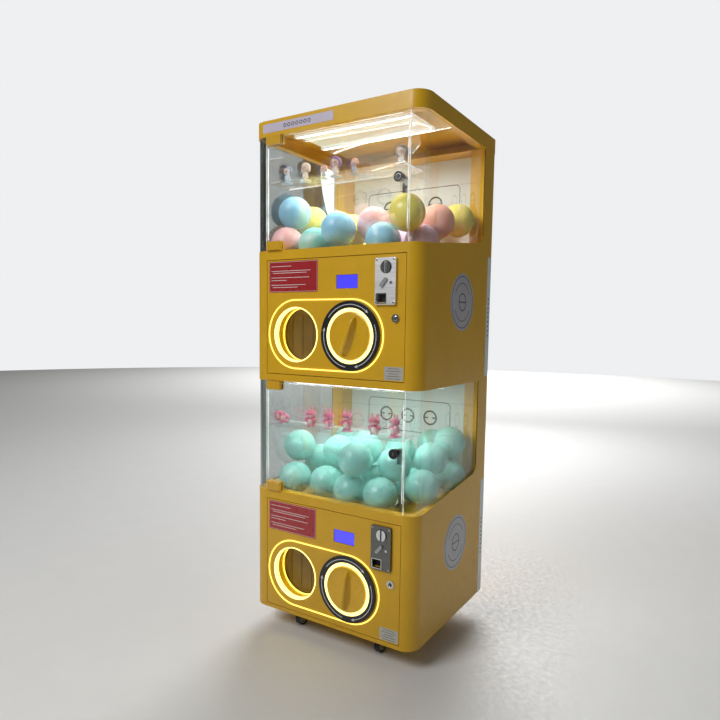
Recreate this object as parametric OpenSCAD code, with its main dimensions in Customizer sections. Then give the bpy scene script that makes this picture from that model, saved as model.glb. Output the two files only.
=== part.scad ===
// Two-deck capsule vending cabinet on casters.
// X runs to the right, Y to the back, Z up; the origin is on the floor, under the middle.

/* [Cabinet] */
// Width of the cabinet over its side skins
cab_w = 590; // [560:1:720]
// Depth of the cabinet, front skin to back panel
cab_d = 505; // [460:1:620]
// Height of the base housing
base_h = 389; // [385:1:480]
// Clear height of the lower tank
lower_tank_h = 347; // [300:1:440]
// Height of the middle housing
mid_h = 398; // [392:1:490]
// Clear height of the upper tank
upper_tank_h = 340; // [300:1:440]
// Height of the header
header_h = 47; // [40:1:80]
// Radius of the two front corners
corner_r = 45; // [30:1:60]
// Thickness of the sheet steel
skin_t = 2; // [1.2:0.1:3]
// Overhang of the header past the skins
cap_over = 1; // [0.5:0.1:3]
// Width of the flange around each deck
deck_rim = 28; // [20:1:40]
// Rise of the side sill from front to back
sill_rise = 45; // [0:1:70]
// Radius where the side sill meets the column
sill_r = 26; // [10:1:40]

/* [Rear frame] */
// Width of a rear column
col_w = 49; // [35:1:70]
// Depth of a rear column
col_d = 78; // [60:1:110]
// Distance from the back face to the white display panel
back_inset = 9; // [6:1:20]
// Thickness of the white display panel
back_t = 3; // [2:0.5:6]

/* [Casters] */
// Height of the cabinet's underside above the floor
caster_h = 66; // [60:1:80]
// Radius of a caster wheel
wheel_r = 25; // [20:1:28]
// Width of a caster wheel
wheel_w = 20; // [14:1:26]
// Distance of the swivel axes from the cabinet's middle
caster_x = 150; // [110:1:200]
// Distance of the swivel axes from the front and back faces
caster_inset = 52; // [45:1:90]
// Trail of the wheel behind its swivel axis
caster_trail = 20; // [12:1:26]

/* [Display] */
// Thickness of the clear acrylic sheet
pane_t = 5; // [3:0.5:8]
// Left edge of the opening for both doors of a deck
door_x0 = -239; // [-250:1:-200]
// Right edge of the opening for both doors of a deck
door_x1 = 251; // [200:1:262]
// Height of the shelf's top above the deck
shelf_z = 207; // [150:1:230]
// Depth of the shelf behind the display door
shelf_d = 98; // [60:1:120]
// Height of a hinge block
block_h = 26; // [18:1:40]
// Length of a hinge block
block_w = 57; // [40:1:80]
// Wall of a capsule
capsule_t = 1.5; // [1:0.25:2.5]
// Diameter of a capsule
capsule_d = 105; // [70:1:106]

/* [Service door] */
// Distance from the deck down to the door opening
door_drop = 28; // [22:1:40]
// Height of the door opening
door_h = 349; // [345:1:352]
// Gap round the service door
door_gap = 2; // [1:0.25:3]
// Depth of the door's folded edge
door_fold = 14; // [8:1:20]
// Height of the prize hole and knob below the deck
hole_drop = 254; // [250:1:260]
// Centre of the prize hole
hole_x = -125; // [-135:1:-115]
// Radius of the prize hole
hole_r = 84; // [70:1:86]
// Depth of the prize tube
tube_d = 46; // [35:1:60]
// Centre of the knob
knob_x = 73; // [65:1:80]
// Radius of the black ring round the knob
ring_r = 100; // [90:1:100]
// Radius of the knob
knob_r = 68; // [55:1:68]
// Distance the knob stands out of the front
knob_out = 26; // [18:1:40]
// Radius of the knob's shaft
shaft_r = 8; // [5:0.5:10]
// Radius of the light line round both
line_r = 105; // [102:1:107]

/* [Coin unit] */
// Width of the coin plate
coin_w = 65; // [58:1:70]
// Height of the coin plate
coin_h = 127; // [110:1:135]
// Centre of the coin plate
coin_x = 190; // [180:1:196]
// Distance the coin plate stands out
coin_out = 8; // [4:1:12]

/* [Dispenser] */
// Module of the dispenser gears
gear_m = 5; // [4:0.5:5]
// Teeth on the capsule wheel
wheel_teeth = 60; // [60:1:62]
// Teeth on the motor pinion
pinion_teeth = 15; // [13:1:18]
// Backlash between the teeth
backlash = 0.6; // [0.4:0.1:1]
// Number of pockets in the capsule wheel
pockets = 3; // [2:1:3]

/* [Hidden] */
$fn = 64;
run = 0.05;       // radial clearance of a running fit
play = 0.5;       // clearance between loose neighbours
eps = 0.01;

xr = cab_w / 2;
yf = -(cab_d - knob_out) / 2;
yb = (cab_d + knob_out) / 2;
yc = yb - col_d;
zb = caster_h;
foot = [zb, zb + base_h + lower_tank_h];
deck = [zb + base_h, foot[1] + mid_h];
ceil_z = [foot[1], deck[1] + upper_tank_h];
top_z = ceil_z[1] + header_h;
back_y = yb - back_inset;
bay_x = xr - col_w;
rim_r = 20;

// Service door and its pivot
leaf_x0 = door_x0 + door_gap;
leaf_x1 = door_x1 - 1.5;
pivot_x = door_x0 + 8;
pivot_y = yf + 5;
pin_r = 2.5;
frame_d = door_fold + 3;
lock_x = door_x1 - 30;
lock_drop = 203;

// Display door and its pivot
pane_y = yf + 1;
pane_x0 = door_x0 + door_gap;
pane_x1 = door_x1 - 2;
swing_x = door_x0 + 11;
swing_y = yf + 6;
swing_r = 3;
block_y0 = yf - 8;
block_y1 = yf + 16;
block_r = 5;
glass_in = skin_t + 0.3;
left_edge = swing_x - 16;
right_edge = door_x1 + 1.5;
catch_x = door_x1 - 29;
catch_z = 170;

// Dispenser
floor_drop = 34;
wheel_x = -40;
wheel_y = yf + 209.5;
gear_r = gear_m * wheel_teeth / 2;
pinion_r = gear_m * pinion_teeth / 2;
tip = 0.8 * gear_m;
root = 1.05 * gear_m;
pocket_r = capsule_d / 2 + 3;
pocket_c = gear_r - tip - root - pocket_r - 3;
wheel_top = floor_drop + skin_t + 18;
wheel_h = capsule_d;
plate_drop = wheel_top + wheel_h + 1.5;
plate_t = 2.5;
axle_r = 8;
mesh_a = 20;
mesh_c = gear_r + pinion_r + 0.2;
pinion_x = wheel_x + mesh_c * cos(mesh_a);
pinion_y = wheel_y + mesh_c * sin(mesh_a);
drop_a = 232;
drop_x = wheel_x + pocket_c * cos(drop_a);
drop_y = wheel_y + pocket_c * sin(drop_a);
gear_t = 12;
motor_r = 28;
motor_shaft = 4;

// Chute behind the prize hole
bin_x0 = hole_x - hole_r;
bin_x1 = max(hole_x + hole_r + 3, drop_x + pocket_r + 3);
bin_y0 = yf + tube_d + 4;
bin_y1 = bin_y0 + 160;
bin_floor = hole_drop + hole_r + 2;
mouth_top = hole_drop - hole_r;
flap_pin = 2;
flap_y = bin_y0 + 3.5;
flap_z = mouth_top + 4;

// Hopper round the wheel
hopper_r = gear_r + tip + 6;
dish_r = min(hopper_r + 34, wheel_y - yf - frame_d - 6);
dish_h = 16;
lip_w = door_x1 - door_x0 + 2 * (skin_t + play);

// Casters
kingpin_r = 5;
axle_pin_r = 4;
fork_t = 2.5;
fork_top = caster_h - 8;
cheek_x = wheel_w / 2 + 2 + fork_t / 2;

// Mains inlet in the back panel
inlet_x = 120;
inlet_z = zb + 70;
inlet_w = 48;
inlet_h = 28;

// Light bars
light_w = 410;
light_d = 16;
light_h = 11;
light_gap = 140;
light_y = yf + 88;

// Display window and coin plate details, from their own centres
lcd_x = 60;
lcd_drop = 100;
lcd_w = 73;
lcd_h = 39;
coin_drop = 103;
cup_x = -12;
cup_z = -46;
cup_w = 28;
cup_h = 24;
slot_x = 2;
slot_z = 38;
lever_x = 2;
lever_z = 4;
lever_r = 2.5;
lock_r = 9;

decks = [0, 1];
sides = [-1, 1];
ends = [yf + caster_inset, yb - caster_inset];

// Resting places of the loose capsules in a heap of 105 mm ones:
// across, back from the front, and up from the deck
heap_d = 105;
lower_heap = [
    [-187, 78, 27], [-78, 98, 24], [27, 78, 18.5], [135, 78, 22], [231, 160, 43],
    [-212, 132, 122], [54, 66, 120], [-86, 178, 110], [27, 168, 132], [143, 148, 102],
    [60, 178, 30], [-102, 205, 8], [-200, 228, 58], [219, 242, 111], [150, 250, 18.5],
    [0, 275, 18.5], [-107, 311, 18.5], [-212, 340, 18.5], [225, 366, 145], [226, 368, 37],
    [118, 385, 18.5], [-20, 385, 30], [-128, 425, 50], [62, 330, 100], [-50, 285, 112],
    [-158, 335, 110], [134, 424, 118]
];
upper_heap = [
    [-222, 78, 30], [-116, 82, 22], [-18, 66, 60], [129, 80, 20], [208, 74, 90],
    [-220, 112, 130], [216, 152, 18.5], [62, 138, 79], [-44, 180, 72], [-140, 185, 18.5],
    [-230, 218, 118], [128, 215, 18.5], [225, 232, 88], [25, 265, 18.5], [-80, 300, 18.5],
    [130, 318, 50], [-190, 320, 18.5], [230, 370, 112], [120, 408, 106], [20, 390, 18.5],
    [-92, 410, 18.5]
];

// ---------- shared shapes ----------

// Outline seen from above: rounded front corners, square back
module plan(half_w, y0, y1, r) {
    translate([-half_w, y0 + r]) square([2 * half_w, y1 - y0 - r]);
    translate([-half_w + r, y0]) square([2 * (half_w - r), r + 1]);
    for (s = sides) translate([s * (half_w - r), y0 + r]) circle(r);
}

// Rectangle with round corners, centred
module round_rect(w, h, r) {
    square([w - 2 * r, h], center = true);
    square([w, h - 2 * r], center = true);
    for (sx = sides, sy = sides) translate([sx * (w / 2 - r), sy * (h / 2 - r)]) circle(r);
}

// Flat outline in X and Z, made solid from y0 back to y1
module slab(y0, y1) {
    translate([0, y1, 0]) rotate([90, 0, 0]) linear_extrude(y1 - y0) children();
}

// Round bar along Y
module bar_y(r, y0, y1) {
    translate([0, y0, 0]) rotate([-90, 0, 0]) cylinder(r = r, h = y1 - y0);
}

// Ring along Y
module ring_y(r_out, r_in, y0, y1) {
    difference() {
        bar_y(r_out, y0, y1);
        bar_y(r_in, y0 - 1, y1 + 1);
    }
}

module box(x0, x1, y0, y1, z0, z1) {
    translate([x0, y0, z0]) cube([x1 - x0, y1 - y0, z1 - z0]);
}

// ---------- frame ----------

module base_plate() {
    color("#b98a10") translate([0, 0, zb]) linear_extrude(3) {
        plan(xr - skin_t - play, yf + skin_t + play, yc - play, corner_r - skin_t);
        translate([-bay_x + play, yc - 1]) square([2 * (bay_x - play), yb - yc - 2]);
    }
}

// Closed box section, open at both ends
module column(s) {
    x_mid = s * (xr - col_w / 2);
    color("#d9a514") translate([x_mid, (yc + yb) / 2, zb]) linear_extrude(ceil_z[1] - zb) difference() {
        square([col_w, col_d], center = true);
        square([col_w - 2 * skin_t, col_d - 2 * skin_t], center = true);
    }
}

module left_column() { column(-1); }
module right_column() { column(1); }

module back_panel() {
    slot_w = 120;
    slot_h = 6;
    color("#cf9c12") difference() {
        box(-bay_x + play, bay_x - play, yb - skin_t, yb, zb, ceil_z[1]);
        for (i = decks, sx = sides, k = [0 : 5])
            translate([sx * 110, 0, deck[i] - 90 - 14 * k])
                slab(yb - skin_t - 1, yb + 1) round_rect(slot_w, slot_h, slot_h / 2 - eps);
        translate([inlet_x, 0, inlet_z]) slab(yb - skin_t - 1, yb + 1)
            square([inlet_w + play, inlet_h + play], center = true);
    }
}

// Folded tray, open underneath inside its rim
module top_cap() {
    color("#d9a514") difference() {
        translate([0, 0, ceil_z[1]]) linear_extrude(header_h)
            plan(xr + cap_over, yf - cap_over, yb, corner_r + cap_over);
        translate([0, 0, ceil_z[1] + skin_t]) linear_extrude(header_h - 2 * skin_t)
            plan(xr + cap_over - skin_t, yf - cap_over + skin_t, yb - skin_t, corner_r + cap_over - skin_t);
        translate([0, 0, ceil_z[1] - 1]) linear_extrude(skin_t + 2)
            plan(xr - deck_rim, yf + deck_rim, yc, rim_r);
        translate([swing_x, swing_y, ceil_z[1] - 1]) cylinder(r = swing_r + run, h = skin_t + 2);
    }
}

module power_inlet() {
    color("#202020") translate([inlet_x, 0, inlet_z]) difference() {
        slab(yb - 28, yb - play) square([inlet_w, inlet_h], center = true);
        slab(yb - 20, yb + 1) square([34, 18], center = true);
    }
}

module power_supply() {
    color("#a8a8a8") box(-60, 110, yb - 150, yb - 50, zb + 3, zb + 50);
}

// ---------- casters ----------

module caster_plates() {
    color("#b8bcc0") for (sx = sides, y = ends) translate([sx * caster_x, y, 0]) {
        translate([0, 0, caster_h - 2.5]) linear_extrude(2.5) round_rect(60, 60, 6);
        translate([0, 0, fork_top - 6]) cylinder(r = kingpin_r, h = caster_h - fork_top + 4);
        translate([0, 0, fork_top - 8]) cylinder(r = kingpin_r + 3, h = 2.5);
    }
}

// Swivel fork: top disc, two cheeks and the axle
module caster_fork(sx, y, brake) {
    color("#c8ccd0") translate([sx * caster_x, y, 0]) {
        difference() {
            union() {
                translate([0, 0, fork_top - 5]) cylinder(r = 21, h = 4.5);
                for (s = sides) translate([s * cheek_x, 0, 0])
                    rotate([90, 0, 90]) translate([0, 0, -fork_t / 2]) linear_extrude(fork_t)
                        polygon([[-14, fork_top - 3], [16, fork_top - 3], [caster_trail + 9, wheel_r + 4],
                                 [caster_trail + 9, wheel_r - 8], [caster_trail - 9, wheel_r - 8]]);
                translate([-cheek_x - fork_t, caster_trail, wheel_r]) rotate([0, 90, 0])
                    cylinder(r = axle_pin_r, h = 2 * (cheek_x + fork_t));
            }
            translate([0, 0, fork_top - 6]) cylinder(r = kingpin_r + run, h = 7);
            translate([0, 0, fork_top - 12]) cylinder(r = kingpin_r + 4, h = 7 - eps);
        }
        if (brake) translate([0, caster_trail + 30, wheel_r + 19]) rotate([-20, 0, 0])
            cube([2 * cheek_x + fork_t, 22, 3], center = true);
        if (brake) for (s = sides)
            translate([s * cheek_x, caster_trail + 15, wheel_r + 19])
                cube([fork_t, 30, 5], center = true);
    }
}

module caster_fork_fl() { caster_fork(-1, ends[0], true); }
module caster_fork_fr() { caster_fork(1, ends[0], true); }
module caster_fork_rl() { caster_fork(-1, ends[1], false); }
module caster_fork_rr() { caster_fork(1, ends[1], false); }

module caster_wheel(sx, y) {
    color("#26262a") translate([sx * caster_x - wheel_w / 2, y + caster_trail, wheel_r]) rotate([0, 90, 0])
        rotate_extrude() polygon([[axle_pin_r + run, 0], [9, 0], [9, 2], [wheel_r - 5, 2], [wheel_r - 3, 0],
            [wheel_r - 1.5, 0.5], [wheel_r, 3], [wheel_r, wheel_w - 3], [wheel_r - 1.5, wheel_w - 0.5],
            [wheel_r - 3, wheel_w], [wheel_r - 5, wheel_w - 2], [9, wheel_w - 2], [9, wheel_w],
            [axle_pin_r + run, wheel_w]]);
}

module caster_wheel_fl() { caster_wheel(-1, ends[0]); }
module caster_wheel_fr() { caster_wheel(1, ends[0]); }
module caster_wheel_rl() { caster_wheel(-1, ends[1]); }
module caster_wheel_rr() { caster_wheel(1, ends[1]); }

// ---------- tanks ----------

module display_backs() {
    color("#f4f6f8") for (i = decks)
        box(-bay_x + play, bay_x - play, back_y - back_t, back_y, deck[i] - floor_drop, ceil_z[i] - play);
}

// Two light bars under each ceiling; the upper ones hang inside the header on posts
module ceiling_lights() {
    low = [ceil_z[0] - 12, ceil_z[1] + 16];
    high = [ceil_z[0] - eps, top_z - skin_t];
    color("#ffffee") for (i = decks, y = [light_y, light_y + light_gap]) {
        box(-light_w / 2, light_w / 2, y, y + light_d, low[i], low[i] + light_h);
        for (s = sides) box(s * 150 - 6, s * 150 + 6, y + 2, y + light_d - 2, low[i] + light_h - 1, high[i]);
    }
}

module tank_floors() {
    color("#d9a514") for (i = decks) difference() {
        union() {
            translate([0, 0, deck[i] - floor_drop - skin_t]) linear_extrude(skin_t) difference() {
                union() {
                    plan(xr - skin_t - play, yf + skin_t + play, yc - play, corner_r - skin_t);
                    translate([-bay_x + play, yc - 1]) square([2 * (bay_x - play), back_y - yc]);
                }
                translate([door_x0 - skin_t - play, yf]) square([lip_w, frame_d + play]);
            }
            translate([door_x0 - skin_t - play, yf + frame_d + play, deck[i] - floor_drop - skin_t])
                cube([lip_w, skin_t, floor_drop + skin_t - door_drop + 2]);
            translate([wheel_x, wheel_y, deck[i] - floor_drop - skin_t]) rotate_extrude()
                polygon([[hopper_r, -dish_h], [hopper_r + 3, -dish_h], [dish_r + 3, 0.5], [dish_r, 0.5]]);
        }
        translate([wheel_x, wheel_y, deck[i] - floor_drop - skin_t - 1])
            cylinder(r = hopper_r, h = skin_t + 3);
        translate([wheel_x, wheel_y, deck[i] - floor_drop - skin_t - dish_h - eps]) rotate_extrude()
            polygon([[0, -1], [hopper_r, -1], [hopper_r, 0], [dish_r, dish_h + 0.5], [dish_r, dish_h + 4],
                     [0, dish_h + 4]]);
    }
}

// One bent sheet per side: front flat, corner bend and side
module window(s, i) {
    z0 = deck[i] + 0.2;
    z1 = ceil_z[i] - 0.2;
    edge = s < 0 ? -left_edge : right_edge;
    color("#dff2ee", 0.35) translate([0, 0, z0]) linear_extrude(z1 - z0) intersection() {
        difference() {
            plan(xr - glass_in, yf + glass_in, yc - 1, corner_r - glass_in);
            plan(xr - glass_in - pane_t, yf + glass_in + pane_t, yc + 1, corner_r - glass_in - pane_t);
        }
        translate([s < 0 ? -xr : edge, yf - 1]) square([xr - edge, cab_d]);
    }
}

module left_windows() { for (i = decks) window(-1, i); }
module right_windows() { for (i = decks) window(1, i); }

// Thin-walled capsules lying where they came to rest
module heap(i, places) {
    k = capsule_d / heap_d;
    for (p = places)
        translate([p[0] * k, yf + p[1] * k, deck[i] - floor_drop + (p[2] + floor_drop) * k])
            difference() {
                sphere(d = capsule_d);
                sphere(d = capsule_d - 2 * capsule_t);
            }
}

module capsules() {
    color("#8fd9cf") heap(0, lower_heap);
    color("#e8b8c0") heap(1, upper_heap);
}

// ---------- dispenser ----------

// Involute flank point at radius r, for a gear of pitch radius p
function inv_angle(r, base) = r <= base ? 0 : (sqrt(r * r - base * base) / base) * 180 / PI - acos(base / r);
function flank_angle(r, p, base) = inv_angle(r, base) - inv_angle(p, base);

// Outline of one tooth, centred on angle 0
function tooth(p, n, steps = 3) =
    let (base = p * cos(20), half = 90 / n - backlash / p * 28.65,
         r0 = p - root, r1 = p + tip,
         rs = [for (k = [0 : steps]) max(base, r0) + (r1 - max(base, r0)) * k / steps],
         up = [for (r = rs) [r, half - flank_angle(r, p, base)]])
    concat([[r0 - 1, up[0][1]]], up);

module gear_outline(p, n) {
    circle(p - root);
    half = tooth(p, n);
    for (k = [0 : n - 1]) rotate(k * 360 / n) polygon(concat(
        [for (q = half) [q[0] * cos(-q[1]), q[0] * sin(-q[1])]],
        [for (m = [len(half) - 1 : -1 : 0]) [half[m][0] * cos(half[m][1]), half[m][0] * sin(half[m][1])]]));
}

module pocket_circles(r) {
    for (k = [0 : pockets - 1]) rotate(k * 360 / pockets) translate([pocket_c, 0]) circle(r);
}

// Wheel that carries one capsule per pocket; turned so a pocket stands over the drop hole
module capsule_wheel(i) {
    z0 = deck[i] - wheel_top - wheel_h;
    rim = gear_r - root - 1;
    color("#e9e4d4") translate([wheel_x, wheel_y, z0]) rotate(drop_a) {
        difference() {
            union() {
                linear_extrude(gear_t) rotate(-drop_a) gear_outline(gear_r, wheel_teeth);
                translate([0, 0, wheel_h - 4]) cylinder(r = rim, h = 4);
                linear_extrude(wheel_h) pocket_circles(pocket_r + 2.5);
                cylinder(r = axle_r + 8, h = wheel_h);
            }
            translate([0, 0, -1]) linear_extrude(wheel_h + 2) pocket_circles(pocket_r);
            translate([0, 0, -1]) cylinder(r = axle_r + run, h = wheel_h + 2);
        }
    }
}

module lower_capsule_wheel() { capsule_wheel(0); }
module upper_capsule_wheel() { capsule_wheel(1); }

// Pinion turned so that a gap meets the wheel's tooth on the line of centres
module pinion(i) {
    pitch = 360 / wheel_teeth;
    near = round(mesh_a / pitch) * pitch - mesh_a;
    phase = 180 + mesh_a - near * wheel_teeth / pinion_teeth + 180 / pinion_teeth;
    color("#f2f2f2") translate([pinion_x, pinion_y, deck[i] - wheel_top - wheel_h]) difference() {
        linear_extrude(gear_t + 2) rotate(phase) gear_outline(pinion_r, pinion_teeth);
        translate([0, 0, -1]) cylinder(r = motor_shaft + run, h = gear_t + 4);
    }
}

module lower_pinion() { pinion(0); }
module upper_pinion() { pinion(1); }

module gear_motors() {
    color("#9a9ea2") for (i = decks) translate([pinion_x, pinion_y, deck[i] - plate_drop - plate_t]) {
        translate([0, 0, -30]) cylinder(r = motor_r, h = 30);
        translate([0, 0, -85]) cylinder(r = motor_r - 8, h = 56);
        cylinder(r = motor_shaft, h = plate_t + 1.5 + gear_t + 4);
    }
}

module dispenser_plates() {
    color("#b9bdc1") for (i = decks) translate([0, 0, deck[i] - plate_drop - plate_t]) {
        difference() {
            linear_extrude(plate_t) {
                box_x = xr - skin_t - play;
                translate([-box_x, wheel_y - gear_r - 6]) square([box_x + coin_x - coin_w / 2 - 12, 60]);
                translate([-box_x, yf + 75]) square([2 * box_x, yc - yf - 85]);
            }
            translate([drop_x, drop_y, -1]) cylinder(r = pocket_r, h = plate_t + 2);
            translate([pinion_x, pinion_y, -1]) cylinder(r = motor_shaft + 3, h = plate_t + 2);
        }
        translate([wheel_x, wheel_y, 0]) cylinder(r = axle_r, h = plate_t + wheel_h - 4);
    }
}

// Drop chute and take-out bin under the wheel
module chutes() {
    wall = 2;
    color("#c99a1c") for (i = decks) {
        z_top = deck[i] - plate_drop - plate_t;
        z_floor = deck[i] - bin_floor;
        difference() {
            box(bin_x0 - wall, bin_x1 + wall, bin_y0, bin_y1 + wall, z_floor - wall, z_top);
            difference() {
                box(bin_x0, bin_x1, bin_y0 + wall, bin_y1, z_floor, z_top + 1);
                translate([bin_x0 - 1, 0, 0]) rotate([90, 0, 90]) linear_extrude(bin_x1 - bin_x0 + 2)
                    polygon([[bin_y0 + 60, z_floor - 1], [bin_y1 + 1, z_floor - 1], [bin_y1 + 1, z_floor + 55]]);
            }
            box(hole_x - hole_r + 4, hole_x + hole_r - 4, bin_y0 - 1, bin_y0 + wall + 1,
                z_floor + eps, deck[i] - mouth_top);
            translate([bin_x0 - wall - 1, flap_y + 1.5, deck[i] - flap_z]) rotate([0, 90, 0])
                cylinder(r = flap_pin + run, h = bin_x1 - bin_x0 + 2 * wall + 2);
        }
    }
}

module prize_flap(i) {
    z = deck[i] - flap_z;
    color("#8c6a10") {
        translate([bin_x0 - 1.5, flap_y + 1.5, z]) rotate([0, 90, 0])
            cylinder(r = flap_pin, h = bin_x1 - bin_x0 + 3);
        box(bin_x0 + 1.5, bin_x1 - 1.5, flap_y, flap_y + 3, deck[i] - bin_floor + 3, z + 2);
    }
}

module lower_prize_flap() { prize_flap(0); }
module upper_prize_flap() { prize_flap(1); }

module coin_boxes() {
    color("#6d7278") for (i = decks) difference() {
        box(coin_x - 45, coin_x + 45, yf + 90, yf + 290, foot[i] + 3.2, foot[i] + 110);
        box(coin_x - 43, coin_x + 43, yf + 92, yf + 288, foot[i] + 5.2, foot[i] + 111);
    }
}

// ---------- housings ----------

// Side view of a housing: level at the front, rising along the sill, curved into the column
module side_view(z0, z1) {
    back = yc - 0.5;
    translate([-xr - 1, 0, 0]) rotate([90, 0, 90]) linear_extrude(cab_w + 2) {
        polygon([[yf - 1, z0], [back, z0], [back, z1 + sill_rise], [yf + corner_r, z1], [yf - 1, z1]]);
        difference() {
            translate([back - sill_r, z1 + sill_rise - 10]) square([sill_r, sill_r + 10]);
            translate([back - sill_r, z1 + sill_rise + sill_r]) circle(sill_r);
        }
    }
}

module opening(i, grow) {
    z1 = deck[i] - door_drop;
    translate([door_x0 - grow, z1 - door_h - grow]) square([door_x1 - door_x0 + 2 * grow, door_h + 2 * grow]);
}

module housing(i) {
    z0 = foot[i];
    z1 = deck[i];
    color("#d9a514") difference() {
        union() {
            intersection() {
                translate([0, 0, z0]) linear_extrude(z1 - z0 + sill_rise + sill_r) difference() {
                    plan(xr, yf, yc - 0.5, corner_r);
                    plan(xr - skin_t, yf + skin_t, yc + 1, corner_r - skin_t);
                }
                side_view(z0, z1);
            }
            translate([0, 0, z1 - skin_t]) linear_extrude(skin_t) difference() {
                plan(xr - 0.5, yf + 0.5, yc - 0.5, corner_r - 0.5);
                plan(xr - deck_rim, yf + deck_rim, yc + 1, rim_r);
            }
            if (i == 1) translate([0, 0, z0]) linear_extrude(skin_t) {
                plan(xr - 0.5, yf + 0.5, yc - 0.5, corner_r - 0.5);
                translate([-bay_x + play, yc - 1]) square([2 * (bay_x - play), back_y - back_t - yc]);
            }
            slab(yf + 1, yf + frame_d) difference() {
                opening(i, skin_t);
                opening(i, 0);
            }
        }
        slab(yf - 1, yf + skin_t + eps) opening(i, 0);
        translate([pivot_x, pivot_y, z1 - door_drop - door_h - skin_t - 1])
            cylinder(r = pin_r + run, h = door_h + 2 * skin_t + 2);
        translate([swing_x, swing_y, z1 - skin_t - 1]) cylinder(r = swing_r + run, h = skin_t + 2);
        if (i == 1) translate([swing_x, swing_y, z0 - 1]) cylinder(r = swing_r + run, h = skin_t + 2);
    }
}

module lower_housing() { housing(0); }
module upper_housing() { housing(1); }

// ---------- display door ----------

module display_door(i) {
    z0 = deck[i] + 3;
    z1 = ceil_z[i] - 3;
    color("#dff2ee", 0.35) difference() {
        box(pane_x0, pane_x1, pane_y, pane_y + pane_t, z0, z1);
        translate([catch_x, 0, deck[i] + catch_z]) bar_y(9.5 + run, yf - 1, yf + 20);
        for (z = [z0, z1]) translate([swing_x, swing_y, z - 12]) cylinder(r = swing_r + 2, h = 24);
    }
}

module shelf(i) {
    back = pane_y + pane_t;
    color("#dff2ee", 0.4) box(pane_x0 + 1, door_x1 - 13, back, back + shelf_d,
        deck[i] + shelf_z - pane_t, deck[i] + shelf_z);
}

// Pair of patch hinges that clamp the pane, with their pivot pins
module hinge_blocks(i) {
    z0 = deck[i] + 1;
    z1 = ceil_z[i] - 1;
    color("#d99a10") for (z = [z0, z1 - block_h]) difference() {
        union() {
            translate([pane_x0 + block_w / 2, (block_y0 + block_y1) / 2, z]) linear_extrude(block_h)
                round_rect(block_w, block_y1 - block_y0, block_r);
            translate([swing_x, swing_y, z - (z == z0 ? 2.5 : 0)]) cylinder(r = swing_r, h = block_h + 2.5);
        }
        box(pane_x0 - 1, pane_x0 + block_w + 1, pane_y, pane_y + pane_t,
            z == z0 ? deck[i] + 3 : z0 - 1, z == z0 ? z1 : ceil_z[i] - 3);
    }
}

// Cam lock: bezel outside, barrel through the pane, cam at the inner end
module display_lock(i) {
    color("#c4c8cc") translate([catch_x, 0, deck[i] + catch_z]) {
        bar_y(14, yf - 4, pane_y - 0.3);
        bar_y(9.5, yf - 4, yf + 36);
        bar_y(13, pane_y + pane_t + 0.3, pane_y + pane_t + 5);
        slab(yf + 33, yf + 36) translate([-7, -36]) square([14, 43]);
    }
}

module lower_display_door() { display_door(0); }
module upper_display_door() { display_door(1); }
module lower_shelf() { shelf(0); }
module upper_shelf() { shelf(1); }
module lower_hinge_blocks() { hinge_blocks(0); }
module upper_hinge_blocks() { hinge_blocks(1); }
module lower_display_lock() { display_lock(0); }
module upper_display_lock() { display_lock(1); }

// ---------- service door ----------

module service_door(i) {
    z1 = deck[i] - door_drop - door_gap;
    z0 = deck[i] - door_drop - door_h + door_gap;
    back = yf + door_fold;
    color("#d9a514") difference() {
        union() {
            difference() {
                box(leaf_x0, leaf_x1, yf, back, z0, z1);
                box(leaf_x0 + skin_t, leaf_x1 - skin_t, yf + skin_t, back + 1, z0 + skin_t, z1 - skin_t);
            }
            translate([pivot_x, pivot_y, z0 - door_gap - skin_t + 0.2])
                cylinder(r = pin_r, h = z1 - z0 + 2 * (door_gap + skin_t) - 0.4);
            translate([knob_x, 0, deck[i] - hole_drop]) bar_y(shaft_r + 10, yf + 1, yf + 30);
            translate([lock_x, 0, deck[i] - lock_drop]) bar_y(12, yf + 1, yf + door_fold - 1);
        }
        translate([hole_x, 0, deck[i] - hole_drop]) bar_y(hole_r + 1, yf - 1, yf + skin_t + 1);
        translate([knob_x, 0, deck[i] - hole_drop]) bar_y(shaft_r + run, yf - 1, yf + 31);
        translate([lock_x, 0, deck[i] - lock_drop]) bar_y(lock_r + run, yf - 1, yf + door_fold);
        translate([lcd_x, 0, deck[i] - lcd_drop]) slab(yf - 1, yf + skin_t + 1)
            square([lcd_w, lcd_h], center = true);
        translate([coin_x, 0, deck[i] - coin_drop]) slab(yf - 1, yf + skin_t + 1)
            square([coin_w - 10, coin_h - 14], center = true);
    }
}

// Lining of the prize hole
module prize_tube(i) {
    color("#e0ae1a") translate([hole_x, 0, deck[i] - hole_drop]) difference() {
        union() {
            bar_y(hole_r + 0.8, yf, yf + tube_d);
            bar_y(hole_r + 12, yf + skin_t, yf + skin_t + 2);
        }
        bar_y(hole_r - 1.2, yf - 1, yf + tube_d + 1);
    }
}

module knob_ring(i) {
    color("#141416") translate([knob_x, 0, deck[i] - hole_drop])
        ring_y(ring_r, knob_r + 12, yf - 5, yf);
}

// Knob: dished disc, tapered grip, shaft and the notched disc that the sensor reads
module knob(i) {
    grip_l = 2 * knob_r - 22;
    color("#d9a514") translate([knob_x, 0, deck[i] - hole_drop]) {
        bar_y(knob_r, yf - 8, yf - 1);
        rotate([0, 14, 0]) hull() {
            slab(yf - 8.5, yf - 7) round_rect(30, grip_l, 14);
            slab(yf - knob_out, yf - knob_out + 3) round_rect(13, grip_l - 18, 6);
        }
        bar_y(shaft_r, yf - 2, yf + 44);
        slab(yf + 36, yf + 40) difference() {
            circle(32);
            for (k = [0 : 5]) rotate(k * 60) translate([30, 0]) square([10, 7], center = true);
        }
    }
}

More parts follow.
